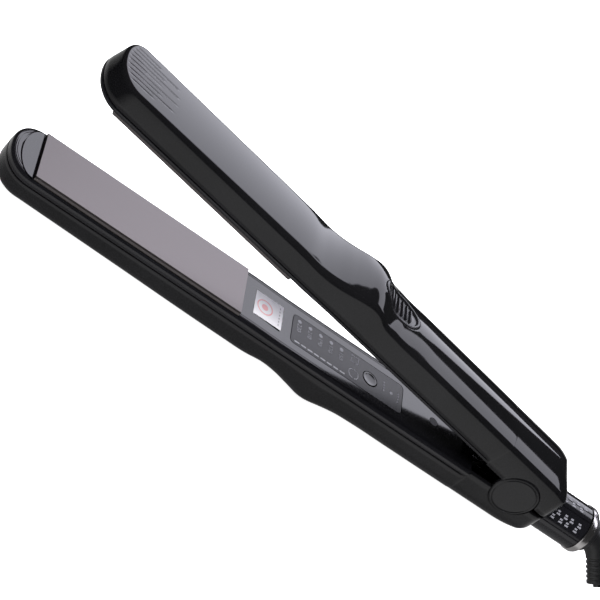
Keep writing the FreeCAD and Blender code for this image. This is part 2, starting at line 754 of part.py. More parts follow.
pin = rod("hinge_pin", "pin_radius", ("0", "-pin_half", "0"), "2 * pin_half", "y")
pin.Label = "hinge_pin"


def hinge_bushes():
    bushes = []
    for index, side in enumerate((-1, 1)):
        start = "inner_lug" if side > 0 else "-(inner_lug + inner_lug_thick)"
        sleeve = rod(f"bush_sleeve{index}", "bush_radius", ("0", start, "0"), "inner_lug_thick", "y")
        bore = rod(f"bush_bore{index}", "pin_radius + 0.05",
                   ("0", f"{start} - 1", "0"), "inner_lug_thick + 2", "y")
        bushes.append(cut_from(f"bush{index}", sleeve, bore))
    return lay(grouped("hinge_bushes", bushes), "upper")


hinge_bushes()


def pivot_cap(label, side):
    """Slightly dished disc over the hinge, flush with the arm's side, with a boss on the lug."""
    body = new_body(label)
    corners = [
        ("0", "pin_half"), ("4.5", "pin_half"), ("4.5", "cap_back"), ("cap_radius - 0.5", "cap_back"),
        ("cap_radius", "cap_back + 0.5"), ("cap_radius", "half_width - 0.4"),
        ("cap_radius - 0.4", "half_width"), ("cap_radius - 1.6", "half_width"),
        ("cap_radius - 2.2", "half_width - 0.3"), ("0", "half_width - 0.3"),
    ]
    sketch = outline(body, "XY_Plane", corners)
    turn = body.newObject("PartDesign::Revolution", label + "_turn")
    turn.Profile = sketch
    turn.ReferenceAxis = (sketch, ["V_Axis"])
    turn.Angle = 360
    doc.recompute()
    if side < 0:
        body.Placement = Placement(Vector(0, 0, 0), Rotation(Vector(1, 0, 0), 180))
    return body


pivot_cap("near_pivot_cap", 1)
pivot_cap("far_pivot_cap", -1)


def swept_wire(edges, radius):
    """A round wire along a line of edges."""
    path = Part.Wire(edges)
    start = path.Edges[0].valueAt(path.Edges[0].FirstParameter)
    heading = path.Edges[0].tangentAt(path.Edges[0].FirstParameter)
    section = Part.Wire([Part.makeCircle(radius, start, heading)])
    return path.makePipeShell([section], True, True)


def round_wire(points, radius):
    """A round wire along a smooth line through points."""
    curve = Part.BSplineCurve()
    curve.interpolate(Points=points)
    return swept_wire([curve.toShape()], radius)


def bent_wire(points, radius):
    """A round wire of straight runs between points, with a round bend at each corner."""
    bend = size_of("wire_bend")
    edges = []
    start = points[0]
    for before, corner, after in zip(points, points[1:], points[2:]):
        inward = (before - corner).normalize()
        outward = (after - corner).normalize()
        half = inward.getAngle(outward) / 2
        trim = bend / math.tan(half)
        middle = corner + (inward + outward).normalize() * (bend / math.sin(half) - bend)
        first = corner + inward * trim
        last = corner + outward * trim
        edges += [Part.makeLine(start, first), Part.Arc(first, middle, last).toShape()]
        start = last
    edges.append(Part.makeLine(start, points[-1]))
    return swept_wire(edges, radius)


def on_upper(x, y, z):
    """A place in the open upper arm's frame, in the object's frame."""
    return Rotation(Vector(0, -1, 0), size_of("open_angle")).multVec(Vector(x, y, z))


def hinge_spring():
    """Torsion spring round the pin: its legs press the two brackets' bridges apart."""
    radius = 4.0
    wire = 0.5
    turns = 5
    half = 4.2
    reach = size_of("bridge_face") - wire - 0.05
    lower_leg = [Vector(9, -half, -reach), Vector(6, -half, -reach + 2.2)]
    upper_leg = [on_upper(6, half, reach - 2.2), on_upper(9, half, reach)]
    steps = turns * 8
    first = math.radians(-55)
    last = math.radians(65 + 360 * (turns - 1))
    ring = []
    for step in range(steps + 1):
        part = step / steps
        angle = first + (last - first) * part
        ring.append(Vector(radius * math.cos(angle), -half + 2 * half * part, radius * math.sin(angle)))
    return finished("hinge_spring", None, round_wire(lower_leg + ring + upper_leg, wire))


hinge_spring()


# ---------------------------------------------------------------- wires
def wire_pair(label, arm, points, radius):
    """Two wires side by side: the points give the wire on the +y side."""
    wires = []
    for side in (-1, 1):
        path = [Vector(point.x, side * point.y, point.z) for point in points]
        wires.append(bent_wire(path, radius))
    return finished(label, arm, Part.makeCompound(wires))


wire_pair("mains_wires", "lower", [
    Vector(-23.9, 2.4, 6), Vector(-16, 2.2, 7), Vector(-6, 2.0, 8), Vector(12, 2.0, 8),
    Vector(34, 2.2, 8), Vector(45, 4.9, 8.6), Vector(55.5, 5.2, 10.2)], 0.9)
wire_pair("lower_heater_wires", "lower", [
    Vector(124.5, 6, 10.2), Vector(131, 6, 9.6), Vector(140, 6, 8.9), Vector(146.2, 5, 8.6)], 0.7)
wire_pair("upper_heater_wires", "upper", [
    Vector(24, 5.5, 9), Vector(44, 6.5, 9.5), Vector(60, 6.5, 9.5), Vector(120, 6, 9.5), Vector(137, 6, 9.2),
    Vector(146.2, 5, 8.6)], 0.7)
bridge_points = [Vector(55.6, 8.6, -10.2), Vector(44, 8.4, -8.6), Vector(32, 6.6, -8), Vector(23, 5.6, -7.2),
                 Vector(17.5, 5.5, -3), Vector(17.5, 5.5, 3)]
bridge_points += [on_upper(19.3, 5.5, 6.8), on_upper(23.8, 5.5, 8.9)]
wire_pair("bridge_wires", None, bridge_points, 0.7)


# ---------------------------------------------------------------- tail sleeve and swivel
def drop_to_sleeve(body):
    """Set a round tail piece on the sleeve's axis."""
    body.setExpression("Placement.Base.z", linked("-sleeve_depth"))
    return body


def tail_sleeve():
    inner = "sleeve_radius - sleeve_wall"
    corners = [
        ("-sleeve_end", inner), ("-sleeve_end", "sleeve_radius - 0.6"), ("-sleeve_end + 0.6", "sleeve_radius"),
        ("-sleeve_root", "sleeve_radius"), ("-sleeve_root", inner),
    ]
    return drop_to_sleeve(turned("tail_sleeve", corners))


def trim_ring():
    bore = "core_radius + 0.6"
    spigot = "sleeve_radius - sleeve_wall"
    face = "-(sleeve_end + ring_length)"
    corners = [
        ("-sleeve_end + 2", bore), (face, bore), (face, "ring_radius - 1"), (f"{face} + 1", "ring_radius"),
        ("-sleeve_end - 0.3", "ring_radius"), ("-sleeve_end", "ring_radius - 0.3"), ("-sleeve_end", spigot),
        ("-sleeve_end + 2", spigot),
    ]
    return drop_to_sleeve(turned("trim_ring", corners))


def swivel_bearing():
    start = "-sleeve_end + 2.1"
    end = "-sleeve_end + 6.5"
    corners = rectangle(start, end, "core_radius + 0.06", "sleeve_radius - sleeve_wall")
    return drop_to_sleeve(turned("swivel_bearing", corners))


def swivel_core():
    """Turns in the bearing: the neck carries the cord guard, the flange takes the pull."""
    face = "-(sleeve_end + ring_length + neck_length)"
    flange = "-sleeve_end + 6.6"
    corners = [
        (face, "0"), (face, "core_radius"), (flange, "core_radius"), (flange, "7"), (f"{flange} + 1.5", "7"),
        (f"{flange} + 1.5", "core_radius"), ("-26.6", "core_radius"), ("-26.6", "0"),
    ]
    return drop_to_sleeve(turned("swivel_core", corners))


def slip_rings():
    made = []
    for index, start in enumerate(("-32", "-28.6")):
        band = rod(f"slip_band{index}", "6", (start, "0", "-sleeve_depth"), "1.4", "x")
        bore = rod(f"slip_bore{index}", "core_radius", (f"{start} - 1", "0", "-sleeve_depth"), "4", "x")
        made.append(cut_from(f"slip_ring{index}", band, bore))
    return grouped("slip_rings", made)


def contact_brushes():
    made = []
    for index, (start, side) in enumerate((("-32", 1), ("-28.6", -1))):
        low = "-sleeve_depth + 6.04" if side > 0 else "-sleeve_depth - 6.44"
        made.append(block(f"contact_leaf{index}", start, "-26.42", "-1.5", "1.5", low, f"{low} + 0.4"))
    return grouped("contact_brushes", made)


tail_sleeve()
trim_ring()
swivel_bearing()
swivel_core()
slip_rings()
contact_brushes()
drop_to_sleeve(turned("brush_holder", rectangle("-26.4", "-24.4", "0", "sleeve_radius - sleeve_wall")))


def cord_path(start_x, tail):
    """The line that the guard and the cord follow: straight back, then a bend, then straight."""
    droop = math.radians(size_of("droop_angle"))
    side = Vector(0, math.cos(droop), -math.sin(droop))
    back = Vector(-1, 0, 0)
    bend = size_of("guard_bend")
    angle = math.radians(size_of("guard_angle"))
    start = Vector(start_x, 0, -size_of("sleeve_depth"))
    knee_x = -size_of("sleeve_end + ring_length") - 1 - size_of("guard_straight")
    knee = Vector(knee_x, 0, -size_of("sleeve_depth"))
    centre = knee + side * bend

    def on_bend(turn):
        return centre - side * (bend * math.cos(turn)) + back * (bend * math.sin(turn))

    heading = back * math.cos(angle) + side * math.sin(angle)
    bow = Part.Arc(knee, on_bend(angle / 2), on_bend(angle)).toShape()
    end = on_bend(angle) + heading * tail
    return Part.Wire([Part.makeLine(start, knee), bow, Part.makeLine(on_bend(angle), end)])


def swept_round(path, start_radius, end_radius):
    """A round tube along path, with one radius at each end."""
    first = path.Edges[0]
    last = path.Edges[-1]
    end = last.LastParameter
    sections = [
        Part.Wire([Part.makeCircle(start_radius, first.valueAt(first.FirstParameter), Vector(-1, 0, 0))]),
        Part.Wire([Part.makeCircle(end_radius, last.valueAt(end), last.tangentAt(end))]),
    ]
    return path.makePipeShell(sections, True, False)


ring_face = -size_of("sleeve_end + ring_length")
guard = swept_round(cord_path(ring_face - 0.3, size_of("guard_tail")), size_of("guard_radius"),
                    size_of("guard_end_radius"))
axis_depth = -size_of("sleeve_depth")
collar = Part.makeCylinder(8.4, 2.6, Vector(ring_face - 2.7, 0, axis_depth), Vector(1, 0, 0))
neck_end = ring_face - size_of("neck_length")
neck_room = Part.makeCylinder(size_of("core_radius"), 20, Vector(neck_end, 0, axis_depth), Vector(1, 0, 0))
cord = swept_round(cord_path(neck_end, size_of("guard_tail + cord_stub")), size_of("cord_radius"),
                   size_of("cord_radius"))
finished("cord_guard", None, guard.fuse(collar).cut(neck_room).cut(cord))
finished("cord_stub", None, cord)


# ---------------------------------------------------------------- checks and export
doc.recompute()
os.makedirs("parts", exist_ok=True)
inner = set()
for item in doc.Objects:
    if item.TypeId in ("Part::MultiFuse", "Part::Compound"):
        inner.update(child.Name for child in getattr(item, "Shapes", []) or getattr(item, "Links", []))
    if item.TypeId == "Part::Cut":
        inner.update((item.Base.Name, item.Tool.Name))
for item in doc.Objects:
    bad = [word for word in item.State if word in ("Invalid", "Error")]
    assert not bad, (item.Label, item.State)
    top_level = item.TypeId == "PartDesign::Body" or item.TypeId.startswith("Part::")
    if not top_level or item.Name in inner:
        continue
    assert not item.Shape.isNull() and item.Shape.isValid() and item.Shape.Solids, item.Label
    item.Shape.exportStep(f"parts/{item.Label}.step")
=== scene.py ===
"""Looks of the flat iron: glossy case halves, satin inner covers, plates, controls, grips and tail sleeve."""

import json
import math

import bmesh
import bpy
import numpy as np
from mathutils import Matrix, Vector
from mathutils.bvhtree import BVHTree


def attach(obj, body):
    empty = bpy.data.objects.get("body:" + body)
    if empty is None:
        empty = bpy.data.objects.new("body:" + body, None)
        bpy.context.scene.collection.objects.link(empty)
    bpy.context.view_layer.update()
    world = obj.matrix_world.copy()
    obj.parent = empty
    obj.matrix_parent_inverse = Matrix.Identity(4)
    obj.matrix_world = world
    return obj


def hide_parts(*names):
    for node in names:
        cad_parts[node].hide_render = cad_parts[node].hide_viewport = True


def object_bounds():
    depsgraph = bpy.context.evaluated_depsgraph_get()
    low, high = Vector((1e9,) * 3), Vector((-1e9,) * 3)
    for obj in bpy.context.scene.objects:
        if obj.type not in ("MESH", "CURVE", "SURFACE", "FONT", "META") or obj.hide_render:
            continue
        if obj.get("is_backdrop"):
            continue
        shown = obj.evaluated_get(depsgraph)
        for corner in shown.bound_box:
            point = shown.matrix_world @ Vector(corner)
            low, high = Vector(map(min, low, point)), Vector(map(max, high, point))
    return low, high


MM = 0.001
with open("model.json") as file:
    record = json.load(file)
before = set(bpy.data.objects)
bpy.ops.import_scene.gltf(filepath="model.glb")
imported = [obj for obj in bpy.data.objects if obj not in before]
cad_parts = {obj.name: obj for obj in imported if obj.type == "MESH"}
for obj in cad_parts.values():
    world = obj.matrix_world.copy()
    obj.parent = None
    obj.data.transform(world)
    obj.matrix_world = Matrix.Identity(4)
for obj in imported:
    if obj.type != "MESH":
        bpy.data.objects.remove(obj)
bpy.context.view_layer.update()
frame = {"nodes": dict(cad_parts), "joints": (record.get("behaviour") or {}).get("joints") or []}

# ---------------------------------------------------------------- driving sizes
# Millimetres in an arm's own frame: x from the hinge to the tip, y across, z outward from the mating plane.
HALF_WIDTH = 15.0
TAIL = -20.5
TAIL_ROUND = 6.5
TIP_CENTRE = 246.5
TIP_LENGTH = {"lower": 12.6, "upper": 11.4}
TIP_FULLNESS = 2.2
RIM = 2.2
COVER_START = 22.0
SEAM_ROUND = 3.5
SEAM_GAP = 0.3
WALL = 2.0
PARTING = {"lower": 5.7, "upper": 4.4}
HANDLE_CORNER = {"lower": 5.5, "upper": 2.8}
FRONT = (130, 250)
FRONT_CORNER = {"lower": (4.2, 4.2), "upper": (3.2, 1.8)}
FRONT_CROWN = {"lower": (0.8, 0.8), "upper": (1.0, 0.4)}
BODY = {"lower": "root", "upper": "upper_arm"}
LIFT = {"lower": 0.4, "upper": 1.4}
CREST_BACK = {"lower": 0.0, "upper": 3.0}
INSERT_REACH = {"lower": 7.2, "upper": 9.4}
INSERT_HALF = {"lower": 13.6, "upper": 12.9}
TAIL_FALL = {"lower": (-2.0, 7.5), "upper": (-7.0, 8.0)}
SLEEVE_DEPTH = 6.0
SLEEVE_RADIUS = 10.5
CAP_RADIUS = 10.8
CAP_GAP = 0.22
CAP_SEAT = 12.4
PLATE_WINDOW_HALF = 14.2
SCREW_HOLE = 2.2
KEY_PLACE = 79.0
KEY_HOLE = 3.95
LAMP_START = 94.9
LAMP_PITCH = 5.55
POWER_LAMP_PLACE = 67.5
FINGER_GROOVES = ((0, 238, 255.5), (2.4, 229, 255.3), (4.8, 237, 254.8), (7.2, 230, 253.8), (9.4, 240, 252.4))
GROOVE_DEPTH = 0.12
GROOVE_HALF = 0.6
GROOVES_START = 220
GRIP_LENGTH = 13.5
GRIP_WIDTH = 7.6
GRIP_BACK = 17.0
GUARD_BEND = 12.0
GUARD_TURN = math.radians(58)
GUARD_STRAIGHT = 3.0
GUARD_TAIL = 11.5
GUARD_LENGTH = GUARD_STRAIGHT + GUARD_BEND * GUARD_TURN + GUARD_TAIL
DROOP = math.radians(39.3)
RING_FACE = -45.5
CUT_LOW = -5
CUT_HIGH = 20

arm_hinge = next(joint for joint in frame["joints"] if joint["name"] == "arm_hinge")
OPEN_ANGLE = math.radians(max(arm_hinge["range_deg"]))
ARMS = {
    "lower": Matrix.Diagonal((1, -1, -1, 1)),
    "upper": Matrix.Rotation(-OPEN_ANGLE, 4, "Y"),
    None: Matrix.Identity(4),
}


# ---------------------------------------------------------------- mesh helpers
def new_piece(name, points, faces, body, look, arm=None, crease=40):
    """A mesh piece from millimetre points in an arm's frame, riding on a body."""
    mesh = bpy.data.meshes.new(name)
    mesh.from_pydata([ARMS[arm] @ (Vector(point) * MM) for point in points], [], faces)
    tidy(mesh, crease)
    piece = bpy.data.objects.new(name, mesh)
    bpy.context.scene.collection.objects.link(piece)
    mesh.materials.append(look)
    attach(piece, body)
    return piece


def tidy(mesh, crease):
    """Join doubled points, drop empty faces and mark the sharp edges."""
    work = bmesh.new()
    work.from_mesh(mesh)
    bmesh.ops.remove_doubles(work, verts=work.verts, dist=1e-5)
    bmesh.ops.dissolve_degenerate(work, edges=work.edges, dist=1e-7)
    work.to_mesh(mesh)
    work.free()
    mesh.shade_smooth()
    mesh.set_sharp_from_angle(angle=math.radians(crease))


def apply_modifiers(piece, crease=40):
    """Bake the modifiers into the mesh."""
    bpy.context.view_layer.update()
    graph = bpy.context.evaluated_depsgraph_get()
    baked = bpy.data.meshes.new_from_object(piece.evaluated_get(graph))
    piece.modifiers.clear()
    old = piece.data
    piece.data = baked
    bpy.data.meshes.remove(old)
    tidy(baked, crease)
    baked.name = piece.name


def carve(piece, cutters, crease=40):
    """Cut the cutter solids out of a piece and throw the cutters away."""
    for cutter in cutters:
        cut = piece.modifiers.new("cut", "BOOLEAN")
        cut.operation = "DIFFERENCE"
        cut.solver = "EXACT"
        cut.object = cutter
    apply_modifiers(piece, crease)
    for cutter in cutters:
        bpy.data.objects.remove(cutter)


def cutter_from(points, faces, arm):
    """A closed solid, used only to cut with, from millimetre points in an arm's frame."""
    mesh = bpy.data.meshes.new("cutter")
    mesh.from_pydata([ARMS[arm] @ (Vector(point) * MM) for point in points], [], faces)
    work = bmesh.new()
    work.from_mesh(mesh)
    bmesh.ops.recalc_face_normals(work, faces=work.faces)
    work.to_mesh(mesh)
    work.free()
    cutter = bpy.data.objects.new("cutter", mesh)
    bpy.context.scene.collection.objects.link(cutter)
    return cutter


def prism(outline, low, high, arm):
    """A cutter standing on a flat outline between two heights."""
    count = len(outline)
    points = [(x, y, z) for z in (low, high) for x, y in outline]
    faces = [tuple(range(count)), tuple(range(count, 2 * count))]
    faces += [(i, (i + 1) % count, (i + 1) % count + count, i + count) for i in range(count)]
    return cutter_from(points, faces, arm)


def rod_across(radius, low, high, centre_x, centre_z, arm, along="y", sides=96):
    """A round cutter lying along y or x."""
    points = []
    for end in (low, high):
        for step in range(sides):
            turn = 2 * math.pi * step / sides
            across = radius * math.cos(turn)
            up = centre_z + radius * math.sin(turn)
            points.append((centre_x + across, end, up) if along == "y" else (end, across, up))
    faces = [tuple(range(sides)), tuple(range(sides, 2 * sides))]
    faces += [(i, (i + 1) % sides, (i + 1) % sides + sides, i + sides) for i in range(sides)]
    return cutter_from(points, faces, arm)


def rounded_rectangle(x_low, x_high, half, radius, steps=8):
    """Outline of a rounded rectangle centred on the arm's middle line."""
    outline = []
    corners = ((x_high - radius, half - radius, 0), (x_low + radius, half - radius, 90),
               (x_low + radius, radius - half, 180), (x_high - radius, radius - half, 270))
    for x, y, first in corners:
        for step in range(steps + 1):
            turn = math.radians(first + 90 * step / steps)
            outline.append((x + radius * math.cos(turn), y + radius * math.sin(turn)))
    return outline


def lathe(profile, place, sides=96):
    """Points and faces of a turned shape, its profile given as (along, radius) pairs."""
    points = []
    for along, radius in profile:
        for step in range(sides):
            turn = 2 * math.pi * step / sides
            points.append(place(along, radius * math.cos(turn), radius * math.sin(turn)))
    faces = []
    for ring in range(len(profile) - 1):
        for i in range(sides):
            j = (i + 1) % sides
            faces.append((ring * sides + i, ring * sides + j, (ring + 1) * sides + j, (ring + 1) * sides + i))
    return points, faces


def smooth_step(low, high, value):
    """0 below low, 1 above high, and an even rise between them."""
    part = np.clip((value - low) / (high - low), 0, 1)
    return part * part * (3 - 2 * part)


def smooth_line(places, heights):
    """A smooth line through a few places, as a function."""
    places = np.array(places, float)
    heights = np.array(heights, float)
    slopes = np.gradient(heights, places)

    def height_at(x):
        x = np.clip(x, places[0], places[-1])
        span = np.clip(np.searchsorted(places, x) - 1, 0, len(places) - 2)
        width = places[span + 1] - places[span]
        part = (x - places[span]) / width
        rise = heights[span + 1] - heights[span]
        ease = part * part * (3 - 2 * part)
        entry = part * (1 - part) ** 2 * width * slopes[span]
        leave = part * part * (part - 1) * width * slopes[span + 1]
        return heights[span] + rise * ease + entry + leave

    return height_at


# ---------------------------------------------------------------- an arm's outer line, from the CAD shell
ABOVE_ARM = 60
BESIDE_MIDDLE = 0.01


def cad_heights(arm, places):
    """How far the CAD shell reaches out from the mating plane at each place along the middle line."""
    mesh = frame["nodes"][f"{arm}_outer_shell"].data
    back = ARMS[arm].inverted()
    points = [(back @ vertex.co) / MM for vertex in mesh.vertices]
    tree = BVHTree.FromPolygons(points, [list(face.vertices) for face in mesh.polygons])
    heights = []
    for x in places:
        hit = tree.ray_cast(Vector((x, BESIDE_MIDDLE, ABOVE_ARM)), Vector((0, 0, -1)))[0]
        heights.append(hit.z)
    return heights


def outer_line(arm):
    """Depth of the arm along its length, and the place of its crest."""
    grid = np.arange(80, 135, 0.5)
    crest = float(grid[int(np.argmax(cad_heights(arm, grid)))])
    places = [-10, 20, crest - 40, crest - 21, crest - 12, crest - 5, crest, crest + 5, crest + 13,
              crest + 20, crest + 27, crest + 36, crest + 48, 200, 245]
    heights = cad_heights(arm, places)
    moved = [x - CREST_BACK[arm] if crest - 6 < x < crest + 40 else x for x in places]
    return smooth_line(moved, heights), crest


OUTER = {arm: outer_line(arm) for arm in ("lower", "upper")}


# ---------------------------------------------------------------- plan outline of an arm
def half_stations(along, tip_steps):
    """Stations round half of the plan outline, from the tail's middle to the tip's middle."""
    stations = [("tail", part) for part in np.linspace(0, 1, 5)[:-1]]
    stations += [("turn", turn) for turn in np.linspace(0, math.pi / 2, 13)[:-1]]
    stations += [("side", x) for x in along]
    stations += [("tip", turn) for turn in np.linspace(0, math.pi / 2, tip_steps)]
    return stations


def plan_point(arm, station, inset):
    """Where a station lies when the outline is moved inward."""
    kind, value = station
    corner = max(TAIL_ROUND, inset)
    left = max(TAIL_ROUND - inset, 0)
    if kind == "tail":
        return TAIL + inset, value * (HALF_WIDTH - corner)
    if kind == "turn":
        return TAIL + corner - left * math.cos(value), HALF_WIDTH - corner + left * math.sin(value)
    if kind == "side":
        return max(value, TAIL + corner), HALF_WIDTH - inset
    left = 1 - inset / HALF_WIDTH
    power = 2 / TIP_FULLNESS
    return (TIP_CENTRE + TIP_LENGTH[arm] * left * math.sin(value) ** power,
            HALF_WIDTH * left * max(math.cos(value), 0) ** power)


def tail_height(arm, x, height):
    """Height of a point once what stands over the rim has sunk towards the tail's end."""
    start, fall = TAIL_FALL[arm]
    part = min(max((start - x) / (start - TAIL), 0), 1)
    full = float(OUTER[arm][0](TAIL)) + LIFT[arm] - RIM
    return height - max(height - RIM, 0) * fall / full * (1 - math.sqrt(1 - part * part))


def arm_skin(arm, stations, section_at, dent=None):
    """A skin over the whole plan: section_at(x) gives (inset, height) pairs from the edge to the middle."""
    half = len(stations)
    columns = [section_at(plan_point(arm, station, 0)[0]) for station in stations]
    rings = len(columns[0])
    points = []
    for side in (1, -1):
        for level in range(rings):
            for station, column in zip(stations, columns):
                inset, height = column[level]
                x, y = plan_point(arm, station, inset)
                height = tail_height(arm, x, height)
                if dent:
                    height -= dent(x, side * y)
                points.append((x, side * y, height))
    faces = []
    for side in (0, 1):
        base = side * rings * half
        for level in range(rings - 1):
            for i in range(half - 1):
                a = base + level * half + i
                quad = (a, a + half, a + half + 1, a + 1)
                faces.append(quad[::-1] if side else quad)
    top = (rings - 1) * half
    for i in range(half - 1):
        faces.append((top + i, top + rings * half + i, top + rings * half + i + 1, top + i + 1))
    return points, faces


def arm_wall(arm, stations, outside, inside, dent=None):
    """A closed wall between an outside skin and an inside skin that share their lower edge's stations."""
    points, faces = arm_skin(arm, stations, outside, dent)
    inner_points, inner_faces = arm_skin(arm, stations, inside)
    shift = len(points)
    half = len(stations)
    outer_half = shift // 2
    inner_half = len(inner_points) // 2
    faces += [tuple(shift + i for i in face[::-1]) for face in inner_faces]
    for side in (0, 1):
        for i in range(half - 1):
            a = side * outer_half + i
            b = shift + side * inner_half + i
            quad = (a, a + 1, b + 1, b)
            faces.append(quad[::-1] if side else quad)
    return points + inner_points, faces


# ---------------------------------------------------------------- outer shells
def shell_edge(arm, x):
    """Height of the shell's lower edge: the rim near the hinge, then the parting line with a round corner."""
    if x <= COVER_START:
        return RIM
    part = min((x - COVER_START) / SEAM_ROUND, 1)
    return RIM + (PARTING[arm] - RIM) * math.sqrt(1 - (1 - part) ** 2)


def shell_section(arm, crown_steps):
    """The section of an outer shell as a function of x."""
    line, crest = OUTER[arm]
    lean = math.radians(4)
    soft = 0.45

    def section_at(x):
        front = float(smooth_step(crest - 8, crest + 6, x))
        front_crown = float(np.interp(x, FRONT, FRONT_CROWN[arm]))
        front_corner = float(np.interp(x, FRONT, FRONT_CORNER[arm]))
        crown = 2.6 + (front_crown - 2.6) * front
        corner = HANDLE_CORNER[arm] + (front_corner - HANDLE_CORNER[arm]) * front
        depth = float(line(x)) + LIFT[arm] * (1 - front)
        low = shell_edge(arm, x)
        shoulder = math.atan(2 * crown / (HALF_WIDTH - corner - 0.8))
        centre_height = depth - crown - corner * math.cos(shoulder)
        side_top = centre_height + corner * math.sin(lean)
        side_inset = math.tan(lean) * (side_top - low)
        centre_inset = side_inset + corner * math.cos(lean)
        points = [(soft, low), (soft * 0.3, low + soft * 0.3), (0, low + soft)]
        for part in (0.25, 0.5, 0.75):
            points.append((side_inset * part, low + soft + (side_top - low - soft) * part))
        for turn in np.linspace(lean, math.pi / 2 - shoulder, 10):
            points.append((centre_inset - corner * math.cos(turn), centre_height + corner * math.sin(turn)))
        edge = points[-1][0]
        for inset in np.linspace(edge, HALF_WIDTH - 0.3, crown_steps)[1:]:
            points.append((inset, depth - crown * ((HALF_WIDTH - inset) / (HALF_WIDTH - edge)) ** 2))
        return points

    return section_at


def shell_inside(arm):
    """The inside of an outer shell, one wall in from its outside."""
    outside = shell_section(arm, 3)

    def section_at(x):
        column = outside(x)
        low = column[0][1]
        shoulder = column[5][1]
        height = column[-1][1] - WALL
        return [(WALL, low), (WALL, shoulder - 1), (WALL + 0.8, height - 2.2), (WALL + 3.2, height - 0.7),
                (HALF_WIDTH - 2, height - 0.4), (HALF_WIDTH - 0.3, height - 0.4)]

    return section_at


def grip_centre():
    """Place of the thumb grip's middle, behind the crest."""
    return OUTER["upper"][1] - GRIP_BACK


def tip_grooves(x, y):
    """Depth of the lengthwise finger grooves near the upper arm's tip."""
    depth = 0.0
    for middle, start, end in FINGER_GROOVES:
        across = abs(abs(y) - middle - 0.012 * (x - 240))
        if across < GROOVE_HALF and start - 1 < x < end + 1:
            fade = float(smooth_step(start - 1, start + 2, x) * (1 - smooth_step(end - 1, end + 1, x)))
            depth = max(depth, GROOVE_DEPTH * fade * (1 - (across / GROOVE_HALF) ** 2) ** 2)
    return depth


def upper_dent(x, y):
    """Finger grooves and the pocket that the thumb grip sits in."""
    away = math.hypot((x - grip_centre()) / GRIP_LENGTH, y / GRIP_WIDTH)
    pocket = 0.9 * (1 - float(smooth_step(0.86, 0.95, away))) if away < 1 else 0
    return pocket + (tip_grooves(x, y) if x > GROOVES_START else 0)


def side_places(arm):
    """Stations along a straight side: close together where the line bends."""
    crest = OUTER[arm][1]
    seam = [COVER_START + SEAM_ROUND * (1 - math.cos(turn)) for turn in np.linspace(0, math.pi / 2, 9)]
    places = list(np.arange(TAIL + TAIL_ROUND, COVER_START - 0.3, 2.0)) + [COVER_START - 0.02] + seam
    places += list(np.arange(COVER_START + SEAM_ROUND + 1.5, crest - 32, 2.5))
    places += list(np.arange(crest - 32, crest + 50, 0.8 if arm == "upper" else 1.2))
    grooves_start = 222 if arm == "upper" else TIP_CENTRE - 4
    places += list(np.arange(crest + 51, grooves_start, 3.0))
    places += list(np.arange(grooves_start, TIP_CENTRE - 0.2, 0.45 if arm == "upper" else 2))
    return places


def outer_shell(arm, look):
    """An arm's outer shell, cut out for the pivot caps and the tail sleeve."""
    fine = arm == "upper"
    stations = half_stations(side_places(arm), 128 if fine else 28)
    section = shell_section(arm, 70 if fine else 10)
    points, faces = arm_wall(arm, stations, section, shell_inside(arm), upper_dent if fine else None)
    shell = new_piece(f"{arm}_case", points, faces, BODY[arm], look, arm)
    past_side = HALF_WIDTH + 1
    seat_radius = CAP_RADIUS + CAP_GAP
    cutters = [rod_across(seat_radius, side * CAP_SEAT, side * past_side, 0, 0, arm) for side in (-1, 1)]
    mouth = SLEEVE_DEPTH if arm == "lower" else -SLEEVE_DEPTH
    room = 0.12 if arm == "lower" else 1.6
    cutters.append(rod_across(SLEEVE_RADIUS + room, -40, -11.5, 0, mouth, arm, "x"))
    carve(shell, cutters, 32)
    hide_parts(f"{arm}_outer_shell")
    return shell


# ---------------------------------------------------------------- inner covers
def cover_face(x):
    """Height of a cover's face over the mating plane."""
    return 2.2 - 0.4 * float(smooth_step(122, 142, x))


def cover_section(arm):
    """The section of an inner cover: side strip, rounded edge, a fine groove, then the flat face."""
    seam = PARTING[arm] - SEAM_GAP
    edge = 1.5
    groove = ((0.05, 0), (0.08, 0.5), (0.5, 0.5), (0.54, 0), (1.1, 0), (1.15, 0.3), (1.4, 0.3), (1.45, 0.0))

    def section_at(x):
        face = cover_face(x)
        points = [(0.3, seam), (0.12, seam - 0.1), (0.05, seam - 0.35), (0.05, face + edge)]
        for turn in np.linspace(0, math.pi / 2, 8)[1:]:
            points.append((0.05 + edge * (1 - math.cos(turn)), face + edge * (1 - math.sin(turn))))
        points += [(0.05 + edge + inset, face + sink) for inset, sink in groove]
        points += [(inset, face) for inset in np.linspace(4.2, HALF_WIDTH - 0.6, 6)]
        return points

    return section_at


def cover_inside(arm):
    """The hidden side of an inner cover."""
    def section_at(x):
        back = cover_face(x) + 1.5
        edge = [(1.4, PARTING[arm] - SEAM_GAP), (1.4, back + 0.3), (1.7, back)]
        return edge + [(6, back), (HALF_WIDTH - 0.6, back)]

    return section_at


def insert_outline(arm, room):
    """The half-moon outline of a tip insert, grown by some room."""
    start = node_range(f"{arm}_tip_insert", arm)[0].x
    reach = INSERT_REACH[arm] + room
    half = INSERT_HALF[arm] + room
    return [(start - room / 4 + reach * math.sin(turn), half * math.cos(turn))
            for turn in np.linspace(0, math.pi, 49)]


def tip_insert(arm, look):
    """The half-moon plate set into the tip of a cover."""
    low, high = node_range(f"{arm}_tip_insert", arm)
    points, faces = flat_sheet(insert_outline(arm, 0), low.z, high.z, 0.12)
    insert = new_piece(f"{arm}_insert", points, faces, BODY[arm], look, arm)
    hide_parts(f"{arm}_tip_insert")


